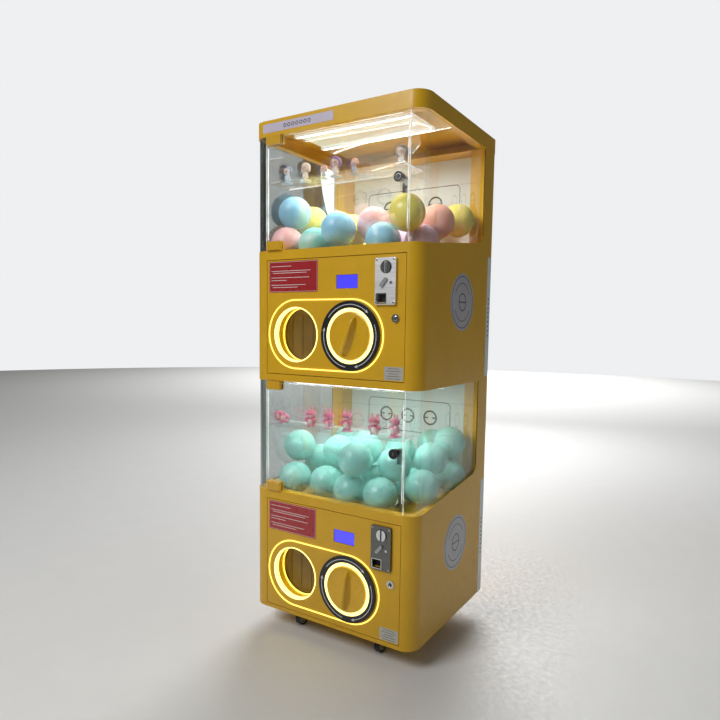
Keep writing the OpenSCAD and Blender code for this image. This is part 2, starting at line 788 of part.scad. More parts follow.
// Light line round both openings, ring in the prize hole and ring round the knob
module door_lights(i) {
    z = deck[i] - hole_drop;
    line_x0 = hole_x;
    line_x1 = knob_x + 7;
    color("#ffe45c") {
        translate([0, 0, z + 1]) slab(yf - 2, yf) difference() {
            union() {
                for (x = [line_x0, line_x1]) translate([x, 0]) circle(line_r);
                translate([line_x0, -line_r]) square([line_x1 - line_x0, 2 * line_r]);
            }
            for (x = [line_x0, line_x1]) translate([x, 0]) circle(line_r - 4);
            translate([line_x0, -line_r + 4]) square([line_x1 - line_x0, 2 * (line_r - 4)]);
        }
        translate([hole_x, 0, z]) ring_y(hole_r - 1.3, hole_r - 4.5, yf - 1, yf + 17);
        translate([knob_x, 0, z]) ring_y(knob_r + 11.5, knob_r + 1.5, yf - 4, yf);
    }
}

module lcd(i) {
    color("#2a2ae8") translate([lcd_x, 0, deck[i] - lcd_drop]) {
        slab(yf + skin_t, yf + skin_t + 10) square([lcd_w + 10, lcd_h + 10], center = true);
        slab(yf + 1, yf + skin_t + 1) square([lcd_w - 1, lcd_h - 1], center = true);
    }
}

// Coin unit: plate with the coin slot, return cup and lever pivot; selector body behind
module coin_unit(i) {
    color("#b9bcc0") translate([coin_x, 0, deck[i] - coin_drop]) difference() {
        union() {
            slab(yf - coin_out, yf) round_rect(coin_w, coin_h, 4);
            slab(yf - 1, yf + 62) square([coin_w - 12, coin_h - 16], center = true);
            translate([slot_x, 0, slot_z]) bar_y(15, yf - coin_out - 2, yf - coin_out + 1);
        }
        translate([slot_x, 0, slot_z]) slab(yf - coin_out - 3, yf + 20) square([3.2, 27], center = true);
        translate([cup_x, 0, cup_z]) slab(yf - coin_out - 1, yf + 18) square([cup_w, cup_h], center = true);
        translate([lever_x, 0, lever_z]) bar_y(lever_r + run, yf - coin_out - 1, yf + 4);
    }
}

module return_lever(i) {
    color("#8e9296") translate([coin_x + lever_x, 0, deck[i] - coin_drop + lever_z]) {
        bar_y(lever_r, yf - coin_out - 5, yf + 3);
        rotate([0, 40, 0]) translate([0, 0, -9]) slab(yf - coin_out - 5.5, yf - coin_out - 0.5)
            round_rect(9, 30, 4);
    }
}

module door_lock(i) {
    color("#c4c8cc") translate([lock_x, 0, deck[i] - lock_drop]) {
        bar_y(lock_r, yf - 1, yf + frame_d + 6);
        bar_y(lock_r + 2.5, yf - 4, yf - 0.4);
        slab(yf + frame_d + 3, yf + frame_d + 6) translate([-7, -39]) square([14, 46]);
    }
}

module lower_service_door() { service_door(0); }
module upper_service_door() { service_door(1); }
module lower_prize_tube() { prize_tube(0); }
module upper_prize_tube() { prize_tube(1); }
module lower_knob_ring() { knob_ring(0); }
module upper_knob_ring() { knob_ring(1); }
module lower_knob() { knob(0); }
module upper_knob() { knob(1); }
module lower_door_lights() { door_lights(0); }
module upper_door_lights() { door_lights(1); }
module lower_lcd() { lcd(0); }
module upper_lcd() { lcd(1); }
module lower_coin_unit() { coin_unit(0); }
module upper_coin_unit() { coin_unit(1); }
module lower_return_lever() { return_lever(0); }
module upper_return_lever() { return_lever(1); }
module lower_door_lock() { door_lock(0); }
module upper_door_lock() { door_lock(1); }

base_plate();
left_column();
right_column();
back_panel();
top_cap();
caster_plates();
caster_fork_fl();
caster_fork_fr();
caster_fork_rl();
caster_fork_rr();
caster_wheel_fl();
caster_wheel_fr();
caster_wheel_rl();
caster_wheel_rr();
power_inlet();
power_supply();
display_backs();
ceiling_lights();
gear_motors();
tank_floors();
left_windows();
right_windows();
coin_boxes();
dispenser_plates();
chutes();
capsules();
lower_housing();
lower_capsule_wheel();
lower_pinion();
lower_prize_flap();
lower_display_door();
lower_shelf();
lower_hinge_blocks();
lower_display_lock();
lower_service_door();
lower_prize_tube();
lower_knob_ring();
lower_knob();
lower_door_lights();
lower_lcd();
lower_coin_unit();
lower_return_lever();
lower_door_lock();
upper_housing();
upper_capsule_wheel();
upper_pinion();
upper_prize_flap();
upper_display_door();
upper_shelf();
upper_hinge_blocks();
upper_display_lock();
upper_service_door();
upper_prize_tube();
upper_knob_ring();
upper_knob();
upper_door_lights();
upper_lcd();
upper_coin_unit();
upper_return_lever();
upper_door_lock();
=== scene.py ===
"""Capsule vending cabinet: the looks of a two-deck machine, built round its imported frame."""

import math

import bmesh
import bpy
from bpy.props import FloatProperty, FloatVectorProperty, PointerProperty
from mathutils import Matrix, Vector


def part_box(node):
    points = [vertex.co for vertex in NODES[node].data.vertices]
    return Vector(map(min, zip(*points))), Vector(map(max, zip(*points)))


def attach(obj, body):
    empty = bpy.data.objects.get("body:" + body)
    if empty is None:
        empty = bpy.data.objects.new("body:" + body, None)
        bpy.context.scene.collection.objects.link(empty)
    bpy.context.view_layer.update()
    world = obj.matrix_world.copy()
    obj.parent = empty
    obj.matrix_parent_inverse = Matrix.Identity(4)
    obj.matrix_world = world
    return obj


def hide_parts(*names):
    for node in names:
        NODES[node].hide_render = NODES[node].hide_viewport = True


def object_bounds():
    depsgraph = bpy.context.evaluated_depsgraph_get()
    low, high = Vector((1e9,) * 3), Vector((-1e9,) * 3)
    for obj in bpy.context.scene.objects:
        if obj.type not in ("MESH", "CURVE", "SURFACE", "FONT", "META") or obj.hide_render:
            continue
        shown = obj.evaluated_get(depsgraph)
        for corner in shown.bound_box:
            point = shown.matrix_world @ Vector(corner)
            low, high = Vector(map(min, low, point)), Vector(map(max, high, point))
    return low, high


bl_info = {
    "name": "Capsule vending cabinet",
    "version": (1, 0, 0),
    "blender": (4, 5, 0),
    "location": "View3D > Sidebar > Capsules",
    "description": "Builds the finishes and fittings of a two-deck capsule vending cabinet",
    "category": "Object",
}

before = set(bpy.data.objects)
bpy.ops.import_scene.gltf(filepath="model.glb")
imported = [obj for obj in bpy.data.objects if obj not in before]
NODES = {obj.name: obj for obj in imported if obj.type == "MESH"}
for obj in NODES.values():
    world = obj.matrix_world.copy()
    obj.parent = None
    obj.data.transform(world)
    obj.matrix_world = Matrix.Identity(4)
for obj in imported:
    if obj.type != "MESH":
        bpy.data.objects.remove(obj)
CAD_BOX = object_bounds()
MM = 0.001
DECKS = ("lower", "upper")
SIDES = (-1, 1)
PROUD = 0.6 * MM      # how far the red plate stands on its door
FILM = 0.35 * MM      # how far an emblem's film stands on its panel
INK = 0.55 * MM       # how far the print on that film stands
LEDGE = 3 * MM        # room between a display door and the deck above and below it


# ---------- places, worked out from the frame ----------

class Deck:
    """Where things are on one deck, from the boxes of its CAD nodes."""

    def __init__(self, name):
        pane_low, pane_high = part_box(name + "_display_door")
        knob_low, knob_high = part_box(name + "_knob")
        tube_low, tube_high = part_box(name + "_prize_tube")
        self.name = name
        self.floor = pane_low.z - LEDGE
        self.ceiling = pane_high.z + LEDGE
        self.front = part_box(name + "_service_door")[0].y
        self.pane = (pane_low, pane_high)
        self.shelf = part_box(name + "_shelf")
        self.knob = Vector(((knob_low.x + knob_high.x) / 2, knob_low.y, (knob_low.z + knob_high.z) / 2))
        self.hole = Vector(((tube_low.x + tube_high.x) / 2, tube_low.y, (tube_low.z + tube_high.z) / 2))
        self.tube_back = tube_high.y
        self.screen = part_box(name + "_lcd")

    def piece(self, part):
        """Name of this deck's piece of that kind."""
        return f"{self.name}_{part}"

    body = piece


PLACES = {name: Deck(name) for name in DECKS}
CABINET = "cabinet"


def on_plane(axis, u, v, w):
    """Point at u, v on the plane across axis, w along it."""
    return {"x": Vector((w, u, v)), "y": Vector((u, w, v)), "z": Vector((u, v, w))}[axis]


def arc(radius, start, end, steps=24, centre=(0, 0)):
    """Points along an arc, in degrees."""
    angles = [math.radians(start + (end - start) * k / steps) for k in range(steps + 1)]
    return [(centre[0] + radius * math.cos(a), centre[1] + radius * math.sin(a)) for a in angles]


def rounded(width, height, radius, centre=(0, 0), steps=6):
    """Outline of a rectangle with round corners."""
    corners = ((1, 1, 0), (-1, 1, 90), (-1, -1, 180), (1, -1, 270))
    points = []
    for sx, sz, start in corners:
        middle = (centre[0] + sx * (width / 2 - radius), centre[1] + sz * (height / 2 - radius))
        points += arc(radius, start, start + 90, steps, middle)
    return points


def disc(radius, centre=(0, 0), steps=48):
    return arc(radius, 0, 360 - 360 / steps, steps - 1, centre)


class Shape:
    """Collects the faces of one piece. Each face keeps the number of its finish."""

    def __init__(self):
        self.mesh = bmesh.new()
        self.finish = 0

    def face(self, points):
        found = self.mesh.faces.new([self.mesh.verts.new(p) for p in points])
        found.material_index = self.finish
        return found

    def skin(self, rings, closed=True, caps=True):
        """Joins rings of points, each with as many points, by four-sided faces."""
        rows = [[self.mesh.verts.new(p) for p in ring] for ring in rings]
        count = len(rows[0])
        for low, high in zip(rows, rows[1:]):
            for k in range(count if closed else count - 1):
                m = (k + 1) % count
                side = self.mesh.faces.new((low[k], low[m], high[m], high[k]))
                side.material_index = self.finish
        if caps:
            for row in (rows[0], rows[-1]):
                cap = self.mesh.faces.new(row)
                cap.material_index = self.finish

    def prism(self, outline, start, end, axis="y"):
        self.skin([[on_plane(axis, u, v, w) for u, v in outline] for w in (start, end)])

    def block(self, low, high):
        low, high = Vector(low), Vector(high)
        corners = [(low.x, low.y), (high.x, low.y), (high.x, high.y), (low.x, high.y)]
        self.prism(corners, low.z, high.z, "z")

    def ribbon(self, line, width, start, end, axis="y", closed=False):
        """Flat strip along a line of u, v points, thick from start to end."""
        count = len(line)
        left, right = [], []
        for k, point in enumerate(line):
            before = line[k - 1] if closed or k else point
            after = line[(k + 1) % count] if closed or k < count - 1 else point
            along = Vector((after[0] - before[0], after[1] - before[1])).normalized()
            off = Vector((-along.y, along.x)) * width / 2
            left.append((point[0] + off.x, point[1] + off.y))
            right.append((point[0] - off.x, point[1] - off.y))
        rings = []
        for (a, b), (c, d) in zip(left, right):
            rings.append([on_plane(axis, a, b, start), on_plane(axis, c, d, start),
                          on_plane(axis, c, d, end), on_plane(axis, a, b, end)])
        if closed:
            rings.append([p.copy() for p in rings[0]])
        self.skin(rings, caps=not closed)

    def lathe(self, profile, centre, axis="y", steps=48, turn=None):
        """Turns a profile of radius and height points round axis at centre."""
        rings = []
        for radius, height in profile:
            ring = []
            for k in range(steps):
                a = 2 * math.pi * k / steps
                point = on_plane(axis, radius * math.cos(a), radius * math.sin(a), height)
                ring.append(Vector(centre) + (turn @ point if turn else point))
            rings.append(ring)
        self.skin(rings, caps=False)

    def ball(self, centre, radii, turn=None, steps=16):
        """Rounded body with three radii."""
        radii = Vector((radii,) * 3) if isinstance(radii, float) else Vector(radii)
        made = bmesh.ops.create_uvsphere(self.mesh, u_segments=steps * 2, v_segments=steps, radius=1)
        place = Matrix.Translation(Vector(centre)) @ (turn.to_4x4() if turn else Matrix())
        place = place @ Matrix.Diagonal((*radii, 1))
        bmesh.ops.transform(self.mesh, matrix=place, verts=made["verts"])
        for vert in made["verts"]:
            for found in vert.link_faces:
                found.material_index = self.finish

    def piece(self, name, body, slot, finishes, bevel=0.0, angle=35, replaces=()):
        """Makes the object, gives it its finishes and lets it ride on its body."""
        bmesh.ops.remove_doubles(self.mesh, verts=self.mesh.verts, dist=0.01 * MM)
        bmesh.ops.recalc_face_normals(self.mesh, faces=self.mesh.faces)
        data = bpy.data.meshes.new(name)
        self.mesh.to_mesh(data)
        self.mesh.free()
        data.shade_smooth()
        data.set_sharp_from_angle(angle=math.radians(angle))
        thing = bpy.data.objects.new(name, data)
        bpy.context.scene.collection.objects.link(thing)
        for finish in finishes if isinstance(finishes, (list, tuple)) else [finishes]:
            data.materials.append(finish)
        if bevel:
            soften(thing, bevel, weld=False)
        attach(thing, body)
        if replaces:
            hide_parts(*replaces)
        return thing


def soften(thing, width, weld=True, segments=2):
    """Rounds the sharp edges by modifiers, so the piece's own mesh stays as it is."""
    if weld:
        join = thing.modifiers.new("join_corners", "WELD")
        join.merge_threshold = 0.01 * MM
    edge = thing.modifiers.new("soft_edges", "BEVEL")
    edge.width = width
    edge.segments = segments
    edge.limit_method = "ANGLE"
    edge.angle_limit = math.radians(40)
    edge.use_clamp_overlap = True
    edge.harden_normals = False
    shade = thing.modifiers.new("even_shading", "WEIGHTED_NORMAL")
    shade.keep_sharp = False
    shade.weight = 80


def dress(node, finish, edge=0.0):
    """Gives a CAD node its finish and soft edges."""
    thing = NODES[node]
    thing.data.materials.clear()
    thing.data.materials.append(finish)
    if edge:
        soften(thing, edge)
    return thing


# ---------- finishes ----------

class Recipe:
    """A material under construction: adds nodes and links them in order."""

    def __init__(self, name):
        self.material = bpy.data.materials.get(name) or bpy.data.materials.new(name)
        self.material.use_nodes = True
        self.tree = self.material.node_tree
        self.shader = self.tree.nodes["Principled BSDF"]
        self.place = self.add("ShaderNodeTexCoord").outputs["Object"]

    def add(self, kind, inputs=None, **settings):
        made = self.tree.nodes.new(kind)
        for key, value in settings.items():
            setattr(made, key, value)
        for key, value in (inputs or {}).items():
            if isinstance(value, bpy.types.NodeSocket):
                self.tree.links.new(value, made.inputs[key])
            else:
                made.inputs[key].default_value = value
        return made

    def stretched(self, scale):
        return self.add("ShaderNodeMapping", {"Vector": self.place, "Scale": scale}).outputs[0]

    def noise(self, scale, detail=3.0, rough=0.5, place=None):
        made = self.add("ShaderNodeTexNoise", {"Vector": place or self.place, "Scale": scale,
                                               "Detail": detail, "Roughness": rough})
        return made.outputs["Fac"]

    def spread(self, value, low, high, from_low=0.3, from_high=0.7):
        made = self.add("ShaderNodeMapRange", {"Value": value, "From Min": from_low, "From Max": from_high,
                                               "To Min": low, "To Max": high})
        return made.outputs[0]

    def blend(self, share, first, second):
        made = self.add("ShaderNodeMix", data_type="RGBA")
        self.tree.links.new(share, made.inputs["Factor"])
        for socket, value in ((made.inputs[6], first), (made.inputs[7], second)):
            if isinstance(value, bpy.types.NodeSocket):
                self.tree.links.new(value, socket)
            else:
                socket.default_value = value
        return made.outputs[2]

    def feed(self, socket, value):
        if isinstance(value, bpy.types.NodeSocket):
            self.tree.links.new(value, self.shader.inputs[socket])
        else:
            self.shader.inputs[socket].default_value = value

    def bumps(self, heights, depth=0.1 * MM, strength=0.5):
        made = self.add("ShaderNodeBump", {"Height": heights, "Distance": depth, "Strength": strength})
        self.feed("Normal", made.outputs[0])


def shade(colour, factor):
    return (*[min(1.0, c * factor) for c in colour[:3]], 1.0)


def mottled(name, colour, rough, grain, depth, variation=0.08, **fixed):
    """Common ground of the finishes: uneven colour and shine, and a fine relief."""
    recipe = Recipe(name)
    cloud = recipe.noise(9.0, 4.0)
    fine = recipe.noise(grain, 2.0)
    recipe.feed("Base Color", recipe.blend(recipe.spread(cloud, 0, 1), shade(colour, 1 - variation),
                                           shade(colour, 1 + variation)))
    recipe.feed("Roughness", recipe.spread(recipe.noise(60.0, 5.0), rough * 0.82, rough * 1.2))
    recipe.bumps(fine, depth)
    for socket, value in fixed.items():
        recipe.feed(socket.replace("_", " "), value)
    return recipe


def powder_coat(colour, rough):
    """Powder coat on sheet steel: orange peel, handling marks and a mottled darkening towards the bottom.
    """
    recipe = mottled("powder_coat", colour, rough, 420.0, 0.05 * MM, 0.035,
                     Coat_Weight=0.1, Coat_Roughness=0.2)
    height = recipe.add("ShaderNodeSeparateXYZ", {"Vector": recipe.place}).outputs["Z"]
    # colour darkened by up to half below 0.35 m, broken up by noise
    low = recipe.spread(height, 0.5, 0.0, 0.06, 0.35)
    low_darkening = recipe.add("ShaderNodeMath", {0: low, 1: recipe.noise(30.0, 6.0)},
                       operation="MULTIPLY").outputs[0]
    clean = recipe.shader.inputs["Base Color"].links[0].from_socket
    recipe.feed("Base Color", recipe.blend(low_darkening, clean, shade(colour, 0.55)))
    return recipe.material


def acrylic(name, tint, rough, wiped=0.25):
    """Clear sheet: slight tint, faint wipe marks in its shine."""
    recipe = Recipe(name)
    pale = [1 - (1 - value) * wiped for value in tint]
    wipes = recipe.noise(14.0, 6.0, place=recipe.stretched((1.0, 1.0, 0.3)))
    recipe.feed("Base Color", recipe.blend(recipe.spread(wipes, 0, 1), (*tint, 1.0), (*pale, 1.0)))
    recipe.feed("Roughness", recipe.spread(wipes, rough, rough + 0.03, 0.55, 0.8))
    recipe.feed("Transmission Weight", 1.0)
    recipe.feed("IOR", 1.49)
    recipe.feed("Specular IOR Level", 0.25)
    return recipe.material


def sheet_edge_glow(tint):
    """Sawn and flame-polished edge of the clear sheet; its emission is a painted glow for the light the
    sheet gathers.
    """
    recipe = mottled("sheet_edge", tint, 0.22, 900.0, 0.02 * MM, 0.05, IOR=1.49)
    recipe.feed("Transmission Weight", 0.55)
    # emission on an edge that is no lamp: painted glow
    recipe.feed("Emission Color", (*tint, 1.0))
    recipe.feed("Emission Strength", recipe.spread(recipe.noise(45.0), 0.05, 0.3))
    return recipe.material


def moulded(name, colour, rough, gloss=0.3):
    """Injection-moulded plastic with a fine spark texture."""
    return mottled(name, colour, rough, 700.0, 0.04 * MM, 0.05, Coat_Weight=gloss, Coat_Roughness=0.1,
                   IOR=1.5).material


def capsule_plastic(name, colour):
    """Thin pastel shell that lets light through, with faint flow lines from its gate."""
    recipe = mottled(name, colour, 0.3, 160.0, 0.05 * MM, 0.04, Coat_Weight=0.35, Coat_Roughness=0.12,
                     IOR=1.5)
    flow = recipe.add("ShaderNodeTexWave", {"Vector": recipe.place, "Scale": 22.0, "Distortion": 6.0,
                                            "Detail": 3.0}).outputs["Fac"]
    base = recipe.shader.inputs["Base Color"].links[0].from_socket
    pale = recipe.add("ShaderNodeMath", {0: flow, 1: 0.05}, operation="MULTIPLY").outputs[0]
    recipe.feed("Base Color", recipe.blend(pale, base, (0.95, 0.97, 0.96, 1.0)))
    recipe.feed("Subsurface Weight", 0.35)
    recipe.feed("Subsurface Radius", (0.02, 0.02, 0.02))
    recipe.feed("Subsurface Scale", 0.6)
    return recipe.material


def brushed(name, colour, rough, along=(1.0, 1.0, 60.0)):
    """Steel with a straight grain and lighter and darker strokes."""
    recipe = mottled(name, colour, rough, 300.0, 0.01 * MM, 0.1, Metallic=1.0)
    strokes = recipe.noise(18.0, 8.0, 0.7, recipe.stretched(along))
    recipe.feed("Base Color", recipe.blend(recipe.spread(strokes, 0, 1), shade(colour, 0.72),
                                           shade(colour, 1.2)))
    recipe.feed("Roughness", recipe.spread(strokes, rough * 0.7, rough * 1.3))
    recipe.bumps(strokes, 0.03 * MM, 0.6)
    return recipe.material


def zinc(name, colour):
    """Zinc-plated steel with its spangle."""
    recipe = mottled(name, colour, 0.34, 350.0, 0.02 * MM, 0.1, Metallic=1.0)
    crystals = recipe.add("ShaderNodeTexVoronoi", {"Vector": recipe.place, "Scale": 90.0}).outputs["Color"]
    grey = recipe.add("ShaderNodeSeparateColor", {"Color": crystals}).outputs[0]
    recipe.feed("Base Color", recipe.blend(recipe.spread(grey, 0, 1, 0, 1), shade(colour, 0.8),
                                           shade(colour, 1.15)))
    recipe.feed("Roughness", recipe.spread(grey, 0.25, 0.42, 0, 1))
    return recipe.material


def polished(name, colour, rough=0.07):
    """Chrome plate with faint wear."""
    recipe = mottled(name, colour, rough, 500.0, 0.005 * MM, 0.04, Metallic=1.0)
    recipe.feed("Roughness", recipe.spread(recipe.noise(200.0, 6.0), rough, rough + 0.14, 0.5, 0.8))
    return recipe.material


def rubber(colour):
    """Caster tread: dull, dusty, scuffed."""
    recipe = mottled("caster_rubber", colour, 0.75, 600.0, 0.15 * MM, 0.2)
    dust = recipe.spread(recipe.noise(120.0, 6.0), 0, 0.4, 0.5, 0.75)
    recipe.feed("Base Color", recipe.blend(dust, shade(colour, 1), (0.2, 0.19, 0.17, 1)))
    return recipe.material


def glowing(name, colour, light, strength, spots=70.0):
    """Lit diffuser: slightly brighter over each lamp."""
    recipe = mottled(name, colour, 0.35, 500.0, 0.02 * MM, 0.04)
    recipe.feed("Emission Color", (*light, 1.0))
    recipe.feed("Emission Strength", recipe.spread(recipe.noise(spots), strength * 0.85, strength * 1.15))
    return recipe.material


def screen_glass(colour, strength):
    """Lit display behind its window, with a faint raster of picture cells."""
    recipe = mottled("display_blue", colour, 0.18, 500.0, 0.005 * MM, 0.05, Coat_Weight=1.0,
                     Coat_Roughness=0.03)
    cells = recipe.add("ShaderNodeTexBrick", {"Vector": recipe.add("ShaderNodeMapping", {
        "Vector": recipe.place, "Rotation": (math.radians(90), 0, 0)}).outputs[0],
        "Color1": (1, 1, 1, 1), "Color2": (0.94, 0.94, 0.96, 1), "Mortar": (0.7, 0.7, 0.74, 1),
        "Scale": 260.0, "Mortar Size": 0.06, "Brick Width": 0.5, "Row Height": 0.5}, offset=0.0)
    glow = recipe.add("ShaderNodeMix", data_type="RGBA", blend_type="MULTIPLY")
    glow.inputs["Factor"].default_value = 1.0
    recipe.tree.links.new(cells.outputs["Color"], glow.inputs[6])
    glow.inputs[7].default_value = (*colour, 1.0)
    recipe.feed("Emission Color", glow.outputs[2])
    recipe.feed("Emission Strength", strength)
    return recipe.material


def printed(name, colour, rough=0.35):
    """Screen-printed film with a soft gloss and a dusting of specks."""
    recipe = mottled(name, colour, rough, 350.0, 0.02 * MM, 0.04, Coat_Weight=0.3, Coat_Roughness=0.15)
    specks = recipe.spread(recipe.noise(900.0, 2.0), 0, 0.12, 0.62, 0.72)
    base = recipe.shader.inputs["Base Color"].links[0].from_socket
    recipe.feed("Base Color", recipe.blend(specks, base, (0.9, 0.9, 0.88, 1)))
    return recipe.material


# ---------- settings ----------

def colour_setting(label, use, value):
    return FloatVectorProperty(name=label, description=use, subtype="COLOR", size=3, min=0, max=1,
                               default=value)


def length_setting(label, use, value):
    return FloatProperty(name=label, description=use, subtype="DISTANCE", unit="LENGTH", min=0,
                         default=value)


class PaintLook(bpy.types.PropertyGroup):
    """Sheet metal and its paint."""

    yellow: colour_setting("Yellow", "Colour of the powder coat", (0.76, 0.43, 0.012))
    shine: FloatProperty(name="Roughness", description="Roughness of the powder coat", subtype="FACTOR",
                         min=0.05, max=1, default=0.36)
    fold: length_setting("Folded edge", "Radius of folded and cut edges", 0.8 * MM)
    zinc: colour_setting("Zinc", "Colour of plated steel", (0.6, 0.62, 0.64))
    gilt: colour_setting("Yellow zinc", "Colour of the casters' yellow-passivated steel", (0.62, 0.5, 0.22))
    grey: colour_setting("Grey", "Colour of the enamelled boxes inside", (0.09, 0.1, 0.115))


class PaneLook(bpy.types.PropertyGroup):
    """Clear sheets and what stands behind them."""

    tint: colour_setting("Tint", "Colour that the clear sheet leaves in the light", (0.94, 0.985, 0.97))
    # the left windows' darker tint is painted shade seen through the far side of the tanks, not a smoked
    # sheet
    smoke: colour_setting("Left window", "Colour that the smoked sheets on the left leave",
                          (0.42, 0.46, 0.455))
    haze: FloatProperty(name="Haze", description="Roughness of the clear sheet", subtype="FACTOR",
                        min=0, max=0.5, default=0.0)
    card: colour_setting("Card", "Colour of the white display panel", (0.8, 0.87, 0.9))
    ink: colour_setting("Ink", "Colour of printed lines", (0.035, 0.037, 0.045))


class LightLook(bpy.types.PropertyGroup):
    """Light bars, light lines and displays."""

    line: colour_setting("Line colour", "Colour of the lit rings and lines", (1.0, 0.78, 0.1))
    line_power: FloatProperty(name="Line strength", description="Brightness of the lit rings", min=0,
                              default=1.3)
    lamp: colour_setting("Lamp colour", "Colour of the light bars", (0.95, 1.0, 0.96))
    lamp_power: FloatProperty(name="Lamp strength", description="Brightness of the lamps", min=0,
                              default=14.0)
    lamp_pitch: length_setting("Lamp pitch", "Distance between lamps on a bar", 9.0 * MM)
    lamp_radius: length_setting("Lamp radius", "Radius of one lamp", 2.4 * MM)
    screen: colour_setting("Screen colour", "Colour of the small displays", (0.06, 0.05, 0.86))
    screen_power: FloatProperty(name="Screen strength", description="Brightness of the displays", min=0,
                                default=0.85)


class CapsuleLook(bpy.types.PropertyGroup):
    """Pastel capsules."""

    mint: colour_setting("Mint", "Colour of the mint capsules", (0.27, 0.66, 0.6))
    sky: colour_setting("Sky", "Colour of the blue capsules", (0.3, 0.62, 0.82))
    lemon: colour_setting("Lemon", "Colour of the yellow capsules", (0.82, 0.74, 0.16))
    pink: colour_setting("Pink", "Colour of the pink capsules", (0.84, 0.48, 0.48))
    lilac: colour_setting("Lilac", "Colour of the lilac capsules", (0.74, 0.52, 0.68))
    salmon: colour_setting("Salmon", "Colour of the salmon capsules", (0.84, 0.42, 0.34))
    seam: length_setting("Seam", "Width of the lip where the halves meet", 2.4 * MM)


class PlateLook(bpy.types.PropertyGroup):
    """Printed plates, labels and emblems."""

    red: colour_setting("Red", "Ground of the instruction plate", (0.42, 0.02, 0.025))
    print_colour: colour_setting("Print", "Colour of the printed lines on red", (0.8, 0.72, 0.7))
    lilac: colour_setting("Header strip", "Colour of the strip on the header", (0.62, 0.56, 0.68))
    emblem: length_setting("Emblem radius", "Radius of the round emblem on each side", 86 * MM)
    line: length_setting("Line width", "Width of the emblem's printed lines", 2.2 * MM)


class StudioLook(bpy.types.PropertyGroup):
    """Camera and studio light."""

    heading: FloatProperty(name="Heading", description="Turn of the camera round the cabinet, in degrees",
                           default=31.904)
    pitch: FloatProperty(name="Pitch", description="Height angle of the camera, in degrees", default=5.1295)
    roll: FloatProperty(name="Roll", description="Roll of the camera, in degrees", default=0.8835)
    place: FloatVectorProperty(name="Camera place", description="Where the camera stands",
                               subtype="TRANSLATION", unit="LENGTH", default=(1.0157, -1.644, 0.975))
    lens: FloatProperty(name="Lens", description="Focal length on a 36 mm sensor, in millimetres",
                        default=29.69)
    shift: FloatVectorProperty(name="Shift", description="Shift of the lens across and up", size=2,
                               default=(-0.0137, 0.027))
    key: FloatProperty(name="Key light", description="Power of the large front light, in watts",
                       default=88.0)
    fill: FloatProperty(name="Fill light", description="Power of the light from the right, in watts",
                        default=2.0)
    tank: FloatVectorProperty(name="Tank lights", size=2, default=(1.6, 3.0),
                              description="Power under the lower and upper ceiling, in watts")
    air: FloatProperty(name="Surrounding light", description="Brightness of the room", default=0.1)


SETTINGS = {
    "cabinet_paint": PaintLook,
    "cabinet_panes": PaneLook,
    "cabinet_lights": LightLook,
    "cabinet_capsules": CapsuleLook,
    "cabinet_plates": PlateLook,
    "cabinet_studio": StudioLook,
}
PAINT = {}


def paints(context):
    """The shared finishes, made once."""
    if PAINT:
        return PAINT
    scene = context.scene
    paint, panes, lights, plates = (scene.cabinet_paint, scene.cabinet_panes, scene.cabinet_lights,
                                    scene.cabinet_plates)
    PAINT.update(
        yellow=powder_coat(tuple(paint.yellow), paint.shine),
        clear=acrylic("clear_acrylic", tuple(panes.tint), panes.haze),
        # left windows: a darker sheet that paints shade
        smoke=acrylic("smoked_acrylic", tuple(panes.smoke), panes.haze, 0.9),
        edge=sheet_edge_glow(tuple(panes.tint)),
        amber=moulded("amber_block", (0.72, 0.4, 0.015), 0.3, 0.5),
        # the flap's dark brown is painted shade: it sits in the shadow of its hole
        flap=moulded("flap_brown", (0.14, 0.085, 0.02), 0.45, 0.1),
        knob=moulded("knob_yellow", (0.78, 0.45, 0.012), 0.3, 0.35),
        tube=moulded("tube_yellow", (0.85, 0.55, 0.02), 0.35, 0.2),
        black=moulded("black_moulding", (0.012, 0.012, 0.014), 0.38, 0.2),
        # near black for holes, slots and recesses is painted shade; the key discs use it as their own dark
        # face
        dark=moulded("dark_recess", (0.02, 0.02, 0.022), 0.6, 0.0),
        white=printed("white_card", tuple(panes.card), 0.4),
        ink=printed("dark_ink", tuple(panes.ink), 0.4),
        red=printed("red_plate", tuple(plates.red), 0.3),
        pale_ink=printed("pale_ink", tuple(plates.print_colour), 0.4),
        lilac=printed("lilac_strip", tuple(plates.lilac), 0.35),
        emblem=printed("emblem_grey", (0.5, 0.5, 0.54), 0.4),
        label=printed("grey_label", (0.5, 0.49, 0.44), 0.45),
        arrow=printed("arrow_white", (0.85, 0.85, 0.88), 0.4),
        chrome=polished("chrome_plate", (0.72, 0.73, 0.75)),
        steel=brushed("coin_steel", (0.9, 0.91, 0.92), 0.5),
        # darker copy of the coin steel for the lower plate: painted shade
        worn=brushed("coin_steel_worn", (0.2, 0.2, 0.19), 0.38),
        zinc=zinc("zinc_plate", tuple(paint.zinc)),
        gilt=zinc("yellow_zinc", tuple(paint.gilt)),
        rubber=rubber((0.03, 0.03, 0.032)),
        gear=moulded("gear_ivory", (0.78, 0.74, 0.62), 0.5, 0.05),
        cast=brushed("motor_cast", (0.5, 0.51, 0.52), 0.45, (6.0, 6.0, 6.0)),
        enamel=moulded("grey_enamel", tuple(paint.grey), 0.4, 0.2),
        line=glowing("light_line", (1.0, 0.86, 0.3), tuple(lights.line), lights.line_power),
        ring=glowing("light_ring", (1.0, 0.9, 0.5), (1.0, 0.85, 0.25), lights.line_power * 1.25),
        bar=glowing("light_bar", (0.95, 0.95, 0.92), tuple(lights.lamp), lights.lamp_power * 0.04, 40.0),
        # the reflector is no lamp: its emission is painted light for what it reflects
        reflector=glowing("lit_reflector", (0.9, 0.9, 0.8), tuple(lights.lamp),
                          lights.lamp_power * 0.012, 30.0),
        lamp=glowing("lamp_dome", (1.0, 1.0, 0.96), tuple(lights.lamp), lights.lamp_power),
        screen=screen_glass(tuple(lights.screen), lights.screen_power),
        copper=polished("brass_contact", (0.72, 0.5, 0.2), 0.25),
    )
    return PAINT


